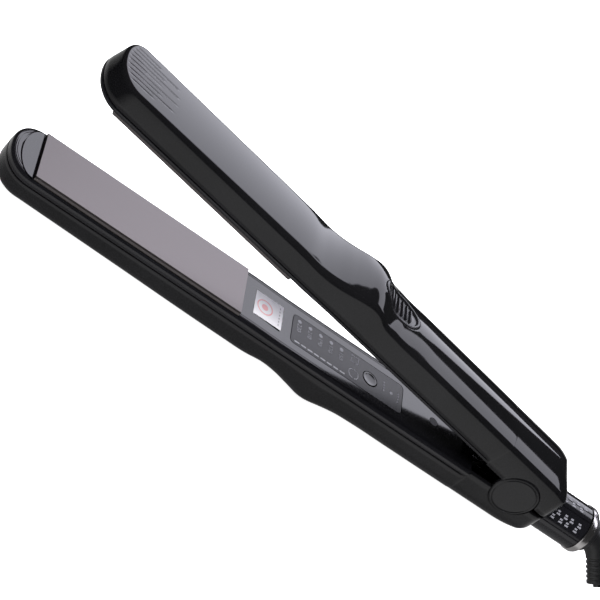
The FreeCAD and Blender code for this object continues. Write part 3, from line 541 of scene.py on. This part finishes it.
def inner_cover(arm, look):
    """An arm's inner cover, cut out for the plate, the tip insert, a screw and the controls."""
    places = list(np.arange(TAIL + TAIL_ROUND, TIP_CENTRE - 0.5, 3.0))
    points, faces = arm_wall(arm, half_stations(places, 36), cover_section(arm), cover_inside(arm))
    faces = [face[::-1] for face in faces]
    cover = new_piece(f"{arm}_cover", points, faces, BODY[arm], look, arm)
    plate_low, plate_high = node_range(f"{arm}_plate", arm)
    tail_box = prism(box_outline(2 * TAIL, COVER_START, 2 * HALF_WIDTH), CUT_LOW, CUT_HIGH, arm)
    window_outline = box_outline(plate_low.x - 0.3, plate_high.x + 0.3, PLATE_WINDOW_HALF)
    window = prism(window_outline, CUT_LOW, CUT_HIGH, arm)
    pocket = prism(insert_outline(arm, 0.8), CUT_LOW, cover_face(TIP_CENTRE) + 1.2, arm)
    cutters = [tail_box, window, pocket]
    screw = node_range(f"{arm}_case_screws", arm)[0]
    cutters.append(prism(circle(screw.x + 2.0, 0, SCREW_HOLE), CUT_LOW, CUT_HIGH, arm))
    if arm == "lower":
        overlay_low, overlay_high = node_range("control_overlay", arm)
        gap = 0.25
        outline = rounded_rectangle(overlay_low.x - gap, overlay_high.x + gap, overlay_high.y + gap, 2.2)
        cutters.append(prism(outline, CUT_LOW, cover_face(KEY_PLACE) + 0.35, arm))
        cutters.append(prism(circle(KEY_PLACE, 0, KEY_HOLE), CUT_LOW, CUT_HIGH, arm))
    carve(cover, cutters, 32)
    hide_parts(f"{arm}_inner_cover")
    return cover


def box_outline(x_low, x_high, half):
    """Corners of a rectangle centred on the arm's middle line."""
    return [(x_low, -half), (x_high, -half), (x_high, half), (x_low, half)]


def circle(x, y, radius, steps=48):
    """Points round a circle."""
    return [(x + radius * math.cos(2 * math.pi * i / steps), y + radius * math.sin(2 * math.pi * i / steps))
            for i in range(steps)]


def node_range(node, arm):
    """Lowest and highest corner of a CAD node in an arm's own frame, in millimetres."""
    back = ARMS[arm].inverted()
    points = np.array([(back @ vertex.co) / MM for vertex in frame["nodes"][node].data.vertices])
    return Vector(points.min(0)), Vector(points.max(0))


# ---------------------------------------------------------------- thumb grip
def thumb_grip(look):
    """An oval rubber pad with a raised ring and cross ribs, sunk in the upper handle behind the crest."""
    section = shell_section("upper", 12)
    centre = grip_centre()

    def base(x, y):
        levels = section(x)
        insets = [HALF_WIDTH - inset for inset, _ in levels][::-1]
        heights = [height for _, height in levels][::-1]
        return float(np.interp(abs(y), insets[:-12], heights[:-12]))

    dish = [(0.0, -0.45), (0.2, -0.45), (0.4, -0.45), (0.6, -0.45), (0.74, -0.45), (0.775, -0.4)]
    ring = [(0.79, -0.15), (0.805, 0.2), (0.83, 0.38), (0.87, 0.46), (0.91, 0.4), (0.94, 0.2)]
    underside = [(0.96, -0.1), (0.97, -0.8), (0.6, -1.3), (0.0, -1.3)]
    profile = dish + ring + underside
    sides = 120
    points = []
    for reach, lift in profile:
        for step in range(sides):
            turn = 2 * math.pi * step / sides
            x = centre + GRIP_LENGTH * reach * math.cos(turn)
            y = GRIP_WIDTH * reach * math.sin(turn)
            points.append((x, y, base(x, y) + lift))
    faces = []
    for ring in range(len(profile) - 1):
        for i in range(sides):
            j = (i + 1) % sides
            faces.append((ring * sides + i, ring * sides + j, (ring + 1) * sides + j, (ring + 1) * sides + i))
    for rib in range(6):
        x = centre + 2.6 * (rib - 2.5)
        half = 4.3 * math.sqrt(max(1 - ((x - centre) / 11.5) ** 2, 0.1)) + 0.3
        add_rib(points, faces, x, half, base)
    grip = new_piece("thumb_grip", points, faces, "upper_arm", look, "upper", 50)
    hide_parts("upper_thumb_grip")
    return grip


def add_rib(points, faces, x, half, base):
    """One rounded bar across the grip, added to the lists of points and faces."""
    arc = [(-0.62, -0.6), (-0.6, -0.1), (-0.45, 0.22), (-0.2, 0.38), (0.2, 0.38), (0.45, 0.22), (0.6, -0.1),
           (0.62, -0.6)]
    rows = np.linspace(-1, 1, 17)
    start = len(points)
    for row in rows:
        y = half * math.sin(row * math.pi / 2)
        size = max(math.sqrt(max(1 - (y / half) ** 8, 0)), 0.15)
        for across, lift in arc:
            points.append((x + across * size, y, base(x, y) - 0.55 + (lift + 0.6) * size))
    width = len(arc)
    for row in range(len(rows) - 1):
        for i in range(width - 1):
            a = start + row * width + i
            faces.append((a, a + 1, a + width + 1, a + width))
    faces.append(tuple(range(start, start + width))[::-1])
    faces.append(tuple(range(start + (len(rows) - 1) * width, start + len(rows) * width)))


# ---------------------------------------------------------------- turned and swept pieces
def joined(*shapes):
    """Several (points, faces) shapes as one."""
    points = []
    faces = []
    for more_points, more_faces in shapes:
        shift = len(points)
        points += more_points
        faces += [tuple(shift + i for i in face) for face in more_faces]
    return points, faces


def pivot_cap(side, look):
    """A round cap over the end of the hinge pin, with a shallow ring and a softened rim."""
    profile = [(12.5, 0.0), (12.5, CAP_RADIUS - 0.1), (14.35, CAP_RADIUS), (14.7, CAP_RADIUS - 0.12),
               (14.88, CAP_RADIUS - 0.4), (14.93, CAP_RADIUS - 0.8), (14.9, CAP_RADIUS - 1.15),
               (14.72, CAP_RADIUS - 1.3), (14.72, CAP_RADIUS - 1.42), (14.93, CAP_RADIUS - 1.6)]
    profile += [(14.93 + 0.09 * (1 - (radius / 9.2) ** 2), radius) for radius in np.linspace(9.0, 0, 10)]
    points, faces = lathe(profile, lambda along, across, up: (across, side * along, up))
    reach = "near" if side > 0 else "far"
    if side < 0:
        faces = [face[::-1] for face in faces]
    cap = new_piece(f"{reach}_cap", points, faces, "root", look, None, 50)
    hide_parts(f"{reach}_pivot_cap")
    return cap


def on_sleeve_axis(along, across, up):
    """A point given from the sleeve's own axis, which lies below the hinge."""
    return along, across, up - SLEEVE_DEPTH


def tail_sleeve(look):
    """The round cord sleeve, with fine lengthwise grooves where its halves and label edges meet."""
    low, high = node_range("tail_sleeve", None)
    sides = 240
    grooves = [math.radians(degrees) for degrees in (8, 62, 118, 172, 262)]
    profile = [(high.x, 8.9), (high.x, SLEEVE_RADIUS - 0.3), (high.x - 0.3, SLEEVE_RADIUS)]
    profile += [(along, SLEEVE_RADIUS) for along in np.linspace(high.x - 1, low.x + 0.8, 8)]
    profile += [(low.x + 0.3, SLEEVE_RADIUS), (low.x, SLEEVE_RADIUS - 0.3), (low.x, 8.9)]
    points = []
    for along, radius in profile:
        for step in range(sides):
            turn = 2 * math.pi * step / sides
            nearest = min(abs(math.remainder(turn - groove, 2 * math.pi)) for groove in grooves)
            sink = 0.28 if radius > 9.5 and nearest < 0.016 else 0
            reach = radius - sink
            points.append(on_sleeve_axis(along, reach * math.cos(turn), reach * math.sin(turn)))
    faces = []
    for ring in range(len(profile)):
        follow = (ring + 1) % len(profile)
        for i in range(sides):
            j = (i + 1) % sides
            faces.append((ring * sides + i, ring * sides + j, follow * sides + j, follow * sides + i))
    sleeve = new_piece("sleeve", points, [face[::-1] for face in faces], "root", look, None, 30)
    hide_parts("tail_sleeve")
    return sleeve


def print_marks(look):
    """Plain bars printed on the sleeve in place of the small print."""
    points = []
    faces = []
    radius = SLEEVE_RADIUS + 0.03
    rows = [(38, (-24, -28.2, -31.6, -36)), (24, (-22.5, -27, -30.5, -35.5)), (88, (-23, -27.4, -32, -36.2)),
            (76, (-25, -29.6, -34))]
    for degrees, starts in rows:
        for start in starts:
            for bar in range(2):
                first = math.radians(degrees - 1.5 + 6.5 * bar)
                last = first + math.radians(4.2)
                shift = len(points)
                for turn in np.linspace(first, last, 5):
                    for along in (start, start - 1.9 + 0.5 * bar):
                        points.append(on_sleeve_axis(along, radius * math.cos(turn), radius * math.sin(turn)))
                for i in range(shift, shift + 8, 2):
                    faces.append((i, i + 1, i + 3, i + 2))
    marks = new_piece("sleeve_marks", points, faces, "root", look)
    return marks


def trim_ring(look):
    """The bright ring between the sleeve and the cord guard."""
    low, high = node_range("trim_ring", None)
    rim = high.z + SLEEVE_DEPTH
    profile = [(high.x, 9.0), (high.x, SLEEVE_RADIUS - 0.9), (-41.6, SLEEVE_RADIUS - 0.8), (-41.6, rim - 0.3),
               (-41.9, rim), (-44.2, rim), (-45.0, rim - 0.35), (low.x, rim - 1.1), (low.x, 8.8)]
    points, faces = lathe(profile, on_sleeve_axis)
    ring = new_piece("bright_ring", points, [face[::-1] for face in faces], "root", look, None, 30)
    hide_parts("trim_ring")
    return ring


def cord_place(distance):
    """Place and heading on the cord's line, measured from the ring's face."""
    bend_length = GUARD_BEND * GUARD_TURN
    side = Vector((0, math.cos(DROOP), -math.sin(DROOP)))
    back = Vector((-1, 0, 0))
    knee = Vector((RING_FACE - GUARD_STRAIGHT, 0, -SLEEVE_DEPTH))
    if distance <= GUARD_STRAIGHT:
        return Vector((RING_FACE - distance, 0, -SLEEVE_DEPTH)), back
    turn = min((distance - GUARD_STRAIGHT) / GUARD_BEND, GUARD_TURN)
    place = knee + side * (GUARD_BEND * (1 - math.cos(turn))) + back * (GUARD_BEND * math.sin(turn))
    heading = back * math.cos(turn) + side * math.sin(turn)
    return place + heading * max(distance - GUARD_STRAIGHT - bend_length, 0), heading


def swept_tube(profile, sides=72):
    """Points and faces of a round shape swept along the cord's line: profile is (distance, radius)."""
    points = []
    for distance, radius in profile:
        place, heading = cord_place(distance)
        across = heading.cross(Vector((0, math.sin(DROOP), math.cos(DROOP)))).normalized()
        up = heading.cross(across).normalized()
        for step in range(sides):
            turn = 2 * math.pi * step / sides
            points.append(tuple(place + across * (radius * math.cos(turn)) + up * (radius * math.sin(turn))))
    faces = []
    for ring in range(len(profile) - 1):
        for i in range(sides):
            j = (i + 1) % sides
            faces.append((ring * sides + i, ring * sides + j, (ring + 1) * sides + j, (ring + 1) * sides + i))
    return points, faces


def cord_guard(look):
    """The rubber bend guard: a collar, a smooth bent neck and ribs towards its end."""
    profile = [(0.2, 3.0), (0.2, 8.2), (0.5, 8.45), (2.3, 8.45), (2.7, 8.1), (2.9, 6.6), (3.2, 6.3)]
    ribs_start = GUARD_LENGTH - 11.0
    profile += [(distance, 6.25 - 0.02 * distance) for distance in np.linspace(3.8, ribs_start - 0.4, 26)]
    for rib in range(5):
        start = ribs_start + 2.1 * rib
        radius = 5.85 - 0.05 * rib
        profile += [(start, radius), (start + 0.2, radius - 0.3), (start + 0.55, radius - 0.38),
                    (start + 0.9, radius - 0.3), (start + 1.1, radius), (start + 1.6, radius + 0.04)]
    profile += [(GUARD_LENGTH - 0.3, 5.6), (GUARD_LENGTH, 5.35), (GUARD_LENGTH, 2.95)]
    profile.append((GUARD_LENGTH - 3, 2.9))
    points, faces = swept_tube(profile)
    guard = new_piece("bend_guard", points, faces, "cord_end", look, None, 32)
    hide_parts("cord_guard")
    return guard


# ---------------------------------------------------------------- control panel and label
def flat_sheet(outline, low, high, soft=0.08):
    """Points and faces of a thin sheet lying on a cover, its face at the low side with a softened edge."""
    count = len(outline)
    middle = np.mean(np.array(outline), axis=0)
    points = []
    for inset, height in ((0, high), (0, low + soft), (soft, low)):
        for x, y in outline:
            away = Vector((x - middle[0], y - middle[1]))
            shrink = 1 - inset / max(away.length, 1e-6)
            points.append((middle[0] + away.x * shrink, middle[1] + away.y * shrink, height))
    faces = [tuple(range(count)), tuple(range(2 * count, 3 * count))[::-1]]
    for ring in (0, 1):
        for i in range(count):
            j = (i + 1) % count
            faces.append((ring * count + j, ring * count + i, (ring + 1) * count + i, (ring + 1) * count + j))
    return points, faces


def hole_ring(x, y, outer, inner, height, steps=40):
    """A flat printed ring."""
    points = []
    for radius in (outer, inner):
        points += [(px, py, height) for px, py in circle(x, y, radius, steps)]
    return points, [(i, (i + 1) % steps, (i + 1) % steps + steps, i + steps) for i in range(steps)]


def flat_shape(outline, height):
    """A flat printed patch."""
    return [(x, y, height) for x, y in outline], [tuple(range(len(outline)))]


def bar(x_low, x_high, y_low, y_high, height):
    """A flat printed bar."""
    return flat_shape([(x_low, y_low), (x_high, y_low), (x_high, y_high), (x_low, y_high)], height)


def square_ring(x, y, outer, inner, height):
    """A flat printed square outline."""
    points = []
    for half in (outer, inner):
        points += [(x + half, y + half, height), (x - half, y + half, height), (x - half, y - half, height),
                   (x + half, y - half, height)]
    return points, [(i, (i + 1) % 4, (i + 1) % 4 + 4, i + 4) for i in range(4)]


def control_panel():
    """The film over the controls, its printed marks, the lamp windows and the dished power key."""
    low, high = node_range("control_overlay", "lower")
    face = cover_face(KEY_PLACE) - 0.04
    film_points, film_faces = flat_sheet(rounded_rectangle(low.x, high.x, high.y, 2.0), face, face + 0.25)
    film = new_piece("panel_film", film_points, film_faces, "root", LOOKS["overlay_film"], "lower", 50)
    carve(film, [prism(circle(KEY_PLACE, 0, KEY_HOLE), CUT_LOW, CUT_HIGH, "lower")], 40)
    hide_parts("control_overlay")

    ink = face - 0.02
    lamps = [LAMP_START + LAMP_PITCH * i for i in range(5)]
    shapes = [flat_shape(circle(x, 5.7, 0.95, 28), ink) for x in lamps]
    shapes.append(flat_shape(circle(POWER_LAMP_PLACE, 0, 0.8, 28), ink))
    dots = new_piece("lamp_windows", *joined(*shapes), "root", LOOKS["lamp_glow"], "lower")

    marks = [square_ring(87.6, 5.0, 2.0, 1.65, ink), hole_ring(87.6, -3.3, 2.7, 2.35, ink)]
    marks += [bar(92 + 3.4 * i, 94.6 + 3.4 * i, -7.0, -6.2, ink) for i in range(8)]
    marks += [bar(71.2, 71.9, -1.6 + 1.5 * i, -0.6 + 1.5 * i, ink) for i in range(4)]
    marks += [bar(63.4, 64.1, -3.0 + 1.5 * i, -2.0 + 1.5 * i, ink) for i in range(4)]
    printed = new_piece("panel_marks", *joined(*marks), "root", LOOKS["panel_ink"], "lower")
    for x, number in zip(lamps[::-1], ("230", "210", "190", "170", "150")):
        panel_number(number, x, ink)
    power_key()


def panel_number(number, x, height):
    """One temperature number beside its lamp, reading across the panel."""
    writing = bpy.data.curves.new(f"number_{number}", "FONT")
    writing.body = number
    writing.size = 3.0 * MM
    writing.align_x = "LEFT"
    writing.align_y = "CENTER"
    writing.offset = 0.03 * MM
    mark = bpy.data.objects.new(f"number_{number}", writing)
    place = ARMS["lower"] @ Vector((x * MM, 4.2 * MM, (height - 0.005) * MM))
    mark.matrix_world = Matrix.Translation(place) @ Matrix.Rotation(math.pi / 2, 4, "Z")
    bpy.context.scene.collection.objects.link(mark)
    writing.materials.append(LOOKS["panel_ink"])
    bpy.context.view_layer.update()
    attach(mark, "root")


def power_key():
    """The round power key: a dished cap with a soft rim."""
    low, high = node_range("power_button", "lower")
    face = low.z
    profile = [(high.z, 0.0), (high.z, 4.4), (high.z - 0.8, 4.4), (high.z - 0.8, 3.68), (face + 0.35, 3.68),
               (face + 0.1, 3.58), (face, 3.3), (face + 0.02, 3.0)]
    profile += [(face + 0.34 - 0.3 * (radius / 3.0) ** 2, radius) for radius in np.linspace(2.7, 0, 8)]
    points, faces = lathe(profile, lambda along, across, up: (KEY_PLACE + across, up, along), 72)
    key = new_piece("power_key_cap", points, faces, "power_key", LOOKS["gloss_shell"], "lower", 40)
    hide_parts("power_button")


def caution_label():
    """A blank sticker with a plain ring and plain bars in place of its print."""
    low, high = node_range("caution_label", "lower")
    outline = [(low.x, low.y), (high.x, low.y), (high.x, high.y), (low.x, high.y)]
    points, faces = flat_sheet(outline, low.z, low.z + 0.14, 0.03)
    sheet = new_piece("sticker", points, faces, "root", LOOKS["label_paper"], "lower")
    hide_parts("caution_label")
    ink = low.z - 0.02
    middle = (low.y + high.y) / 2
    centre_x = (low.x + 5.0 + high.x - 1.2) / 2
    ring = hole_ring(centre_x, middle, 4.0, 3.4, ink)
    dot = flat_shape(circle(centre_x, middle, 1.6), ink)
    mark = new_piece("sticker_mark", *joined(ring, dot), "root", LOOKS["soft_red"], "lower")
    starts = [middle - 5.4 + 1.9 * i for i in range(6)]
    bars = [bar(low.x + 1.3, low.x + 1.9, start, start + 1.1, ink) for start in starts]
    lines = new_piece("sticker_bars", *joined(*bars), "root", LOOKS["grey_ink"], "lower")


# ---------------------------------------------------------------- materials
def new_look(name, colour, roughness, metallic=0.0, grain=900.0, bump=0.02, mottling=0.25, smudge=0.25,
             ior=1.5):
    """A moulded or finished surface: fine grain, slow colour drift and smudged roughness."""
    look = bpy.data.materials.new(name)
    look.use_nodes = True
    nodes = look.node_tree.nodes
    links = look.node_tree.links
    shader = nodes["Principled BSDF"]
    shader.inputs["Metallic"].default_value = metallic
    shader.inputs["IOR"].default_value = ior
    place = nodes.new("ShaderNodeTexCoord")
    fine = nodes.new("ShaderNodeTexNoise")
    fine.inputs["Scale"].default_value = grain
    fine.inputs["Detail"].default_value = 3
    slow = nodes.new("ShaderNodeTexNoise")
    slow.inputs["Scale"].default_value = 28
    slow.inputs["Detail"].default_value = 4
    for noise in (fine, slow):
        links.new(place.outputs["Object"], noise.inputs["Vector"])
    tint = nodes.new("ShaderNodeValToRGB")
    tint.color_ramp.elements[0].color = [channel * (1 - mottling) for channel in colour] + [1]
    tint.color_ramp.elements[1].color = [channel * (1 + mottling) for channel in colour] + [1]
    tint.color_ramp.elements[0].position = 0.3
    tint.color_ramp.elements[1].position = 0.7
    links.new(slow.outputs["Fac"], tint.inputs["Fac"])
    links.new(tint.outputs["Color"], shader.inputs["Base Color"])
    rough = nodes.new("ShaderNodeMapRange")
    rough.inputs["To Min"].default_value = roughness * (1 - smudge)
    rough.inputs["To Max"].default_value = roughness * (1 + smudge)
    links.new(slow.outputs["Fac"], rough.inputs["Value"])
    links.new(rough.outputs["Result"], shader.inputs["Roughness"])
    dimple = nodes.new("ShaderNodeBump")
    dimple.inputs["Strength"].default_value = bump
    dimple.inputs["Distance"].default_value = 0.0002
    links.new(fine.outputs["Fac"], dimple.inputs["Height"])
    links.new(dimple.outputs["Normal"], shader.inputs["Normal"])
    return look


LOOKS = {
    "gloss_shell": new_look("gloss_shell", (0.0035, 0.0035, 0.004), 0.06, grain=350, bump=0.003, ior=1.43),
    "satin_cover": new_look("satin_cover", (0.004, 0.004, 0.005), 0.1, grain=1500, bump=0.02),
    "plate_face": new_look("plate_face", (0.118, 0.107, 0.107), 0.3, metallic=0.9, grain=4000, bump=0.02,
                           mottling=0.03, smudge=0.1),
    "heater_ceramic": new_look("heater_ceramic", (0.75, 0.73, 0.68), 0.6, grain=2500, bump=0.1),
    "spring_steel": new_look("spring_steel", (0.3, 0.3, 0.31), 0.3, metallic=1.0, grain=3000),
    "screw_steel": new_look("screw_steel", (0.015, 0.015, 0.017), 0.45, metallic=0.6, grain=3000),
    "heat_proof_resin": new_look("heat_proof_resin", (0.02, 0.018, 0.016), 0.5, bump=0.06),
    "board": new_look("board", (0.02, 0.12, 0.04), 0.45, grain=2000),
    "chip_black": new_look("chip_black", (0.01, 0.01, 0.011), 0.5, grain=2500, bump=0.08),
    "lamp_clear": new_look("lamp_clear", (0.3, 0.3, 0.34), 0.25, bump=0.01),
    "overlay_film": new_look("overlay_film", (0.008, 0.008, 0.01), 0.3, grain=2500, bump=0.03, ior=1.35),
    "label_paper": new_look("label_paper", (0.86, 0.84, 0.88), 0.5, grain=3000, bump=0.05, mottling=0.03),
    "bush_resin": new_look("bush_resin", (0.6, 0.6, 0.56), 0.5),
    "wire_skin": new_look("wire_skin", (0.008, 0.008, 0.009), 0.4),
    "contact_brass": new_look("contact_brass", (0.6, 0.42, 0.14), 0.3, metallic=1.0),
    "lamp_glow": new_look("lamp_glow", (0.33, 0.33, 0.37), 0.25, bump=0.01),
    "panel_ink": new_look("panel_ink", (0.36, 0.36, 0.4), 0.5, bump=0.03, mottling=0.1),
    "sleeve_ink": new_look("sleeve_ink", (0.15, 0.15, 0.17), 0.5, bump=0.03, mottling=0.1),
    "grey_ink": new_look("grey_ink", (0.45, 0.44, 0.46), 0.5, bump=0.03, mottling=0.1),
    "soft_red": new_look("soft_red", (0.85, 0.42, 0.44), 0.5, bump=0.03, mottling=0.1),
    "trim_silver": new_look("trim_silver", (0.62, 0.6, 0.6), 0.22, metallic=1.0, grain=2500, bump=0.02,
                            mottling=0.04),
    "guard_rubber": new_look("guard_rubber", (0.006, 0.006, 0.0065), 0.36, grain=1800, bump=0.08),
    "grip_rubber": new_look("grip_rubber", (0.006, 0.006, 0.007), 0.24, grain=1500, bump=0.05),
}


def dress_cad_nodes():
    """Give every CAD node the look of its own material slot."""
    for node in frame["nodes"].values():
        for slot in node.material_slots:
            name = slot.material.name.split(".")[0] if slot.material else ""
            if name in LOOKS:
                slot.material = LOOKS[name]


# ---------------------------------------------------------------- stage, lights and camera
FLOOR_GLOW = 0.68
FLOOR_GAP = 0.0004
FLOOR_FADE = (0.16, 0.34)
MIDDLE = Vector((0.12, 0, 0.01))
MAIN_WAY = (-0.5, -0.64, 0.46)
MAIN_TINT = (0.95, 0.95, 1.06)


def map_range(nodes, low, high, at_low, at_high):
    """A node that carries a value from one range to another."""
    node = nodes.new("ShaderNodeMapRange")
    node.inputs["From Min"].default_value = low
    node.inputs["From Max"].default_value = high
    node.inputs["To Min"].default_value = at_low
    node.inputs["To Max"].default_value = at_high
    return node


def floor_look():
    """White to the camera; mirrored in the gloss, the floor is a painted pool of light that fades with
    distance, and painted shade dims it with steepness, where steep rays meet it under the iron.
    """
    look = bpy.data.materials.new("floor_white")
    look.use_nodes = True
    nodes = look.node_tree.nodes
    links = look.node_tree.links
    shader = nodes["Principled BSDF"]
    shader.inputs["Base Color"].default_value = (0.86, 0.86, 0.87, 1)
    shader.inputs["Roughness"].default_value = 0.9
    shader.inputs["Emission Color"].default_value = (1, 1, 1, 1)
    shader.inputs["Emission Strength"].default_value = 1.0
    mirrored = nodes.new("ShaderNodeEmission")
    path = nodes.new("ShaderNodeLightPath")
    place = nodes.new("ShaderNodeTexCoord")
    away = nodes.new("ShaderNodeVectorMath")
    away.operation = "LENGTH"
    # Painted light: the glossy rays see the floor glow as a pool of light that fades out with distance.
    near = map_range(nodes, *FLOOR_FADE, FLOOR_GLOW, 0.0)
    view = nodes.new("ShaderNodeNewGeometry")
    part = nodes.new("ShaderNodeSeparateXYZ")
    # Painted shade: steeper mirrored rays meet the floor under the iron, and there the floor is dimmed as if
    # it lay in the iron's shadow.
    steep = map_range(nodes, 0.575, 0.68, 1.0, 0.4)
    both = nodes.new("ShaderNodeMath")
    both.operation = "MULTIPLY"
    mix = nodes.new("ShaderNodeMixShader")
    links.new(place.outputs["Object"], away.inputs[0])
    links.new(away.outputs["Value"], near.inputs["Value"])
    links.new(view.outputs["Incoming"], part.inputs["Vector"])
    links.new(part.outputs["Z"], steep.inputs["Value"])
    links.new(near.outputs["Result"], both.inputs[0])
    links.new(steep.outputs["Result"], both.inputs[1])
    links.new(both.outputs["Value"], mirrored.inputs["Strength"])
    links.new(path.outputs["Is Glossy Ray"], mix.inputs["Fac"])
    links.new(shader.outputs["BSDF"], mix.inputs[1])
    links.new(mirrored.outputs["Emission"], mix.inputs[2])
    links.new(mix.outputs["Shader"], nodes["Material Output"].inputs["Surface"])
    return look


def round_floor(height):
    """A round floor under the iron."""
    mesh = bpy.data.meshes.new("floor")
    sides = 64
    reach = 1.6
    ring = [(reach * math.cos(2 * math.pi * i / sides), reach * math.sin(2 * math.pi * i / sides), 0)
            for i in range(sides)]
    mesh.from_pydata(ring, [], [tuple(range(sides))])
    mesh.materials.append(floor_look())
    floor = bpy.data.objects.new("floor", mesh)
    floor.location = (MIDDLE.x, MIDDLE.y, height)
    bpy.context.scene.collection.objects.link(floor)
    floor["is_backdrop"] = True


def surroundings():
    """White round the iron for the camera, and nearly dark for its reflections."""
    world = bpy.data.worlds.new("studio")
    world.use_nodes = True
    sky = world.node_tree.nodes["Background"]
    rays = world.node_tree.nodes.new("ShaderNodeLightPath")
    strength = world.node_tree.nodes.new("ShaderNodeMapRange")
    strength.inputs["To Min"].default_value = 0.03
    strength.inputs["To Max"].default_value = 1.0
    world.node_tree.links.new(rays.outputs["Is Camera Ray"], strength.inputs["Value"])
    world.node_tree.links.new(strength.outputs["Result"], sky.inputs["Strength"])
    sky.inputs["Color"].default_value = (1, 1, 1, 1)
    bpy.context.scene.world = world


def soft_box(name, direction, distance, width, height, power, colour=(1, 1, 1), shiny=True, shift=(0, 0)):
    """An area light facing the object's middle from a direction, moved aside in its own plane."""
    light = bpy.data.lights.new(name, "AREA")
    light.shape = "RECTANGLE"
    light.size = width
    light.size_y = height
    light.energy = power
    light.color = colour
    lamp = bpy.data.objects.new(name, light)
    lamp.location = MIDDLE + Vector(direction).normalized() * distance
    facing = (MIDDLE - lamp.location).to_track_quat("-Z", "Y")
    lamp.rotation_euler = facing.to_euler()
    lamp.location += facing @ Vector((shift[0], shift[1], 0))
    lamp.visible_camera = False
    lamp.visible_glossy = shiny
    bpy.context.scene.collection.objects.link(lamp)


def photo_camera():
    """A long lens looking down the opened iron from its near side."""
    lens = bpy.data.cameras.new("camera")
    lens.lens = 138
    lens.sensor_width = 36
    lens.clip_start = 0.05
    camera = bpy.data.objects.new("camera", lens)
    forward = Vector((-0.36266, -0.74519, -0.55962)).normalized()
    up = Vector((0.52307, -0.65975, 0.53956))
    right = forward.cross(up).normalized()
    up = right.cross(forward)
    turn = Matrix((right, up, -forward)).transposed()
    camera.matrix_world = Matrix.Translation((0.462, 0.6876, 0.5277)) @ turn.to_4x4()
    bpy.context.scene.collection.objects.link(camera)
    bpy.context.scene.camera = camera


dress_cad_nodes()
for arm in ("lower", "upper"):
    outer_shell(arm, LOOKS["gloss_shell"])
    inner_cover(arm, LOOKS["satin_cover"])
    tip_insert(arm, LOOKS["satin_cover"])
thumb_grip(LOOKS["grip_rubber"])
for side in (-1, 1):
    pivot_cap(side, LOOKS["gloss_shell"])
tail_sleeve(LOOKS["satin_cover"])
print_marks(LOOKS["sleeve_ink"])
trim_ring(LOOKS["trim_silver"])
cord_guard(LOOKS["guard_rubber"])
control_panel()
caution_label()

round_floor(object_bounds()[0][2] - FLOOR_GAP)
surroundings()
soft_box("main_box", MAIN_WAY, 1.2, 0.72, 0.6, 4.2, MAIN_TINT, shift=(0.24, -0.1))
soft_box("high_box", MAIN_WAY, 1.2, 1.6, 0.32, 5.0, MAIN_TINT, shift=(-0.2, 0.36))
soft_box("overhead", (0.1, 0.25, 1.0), 1.3, 1.2, 1.2, 44, shiny=False)
photo_camera()
bpy.context.scene.view_settings.view_transform = "Standard"
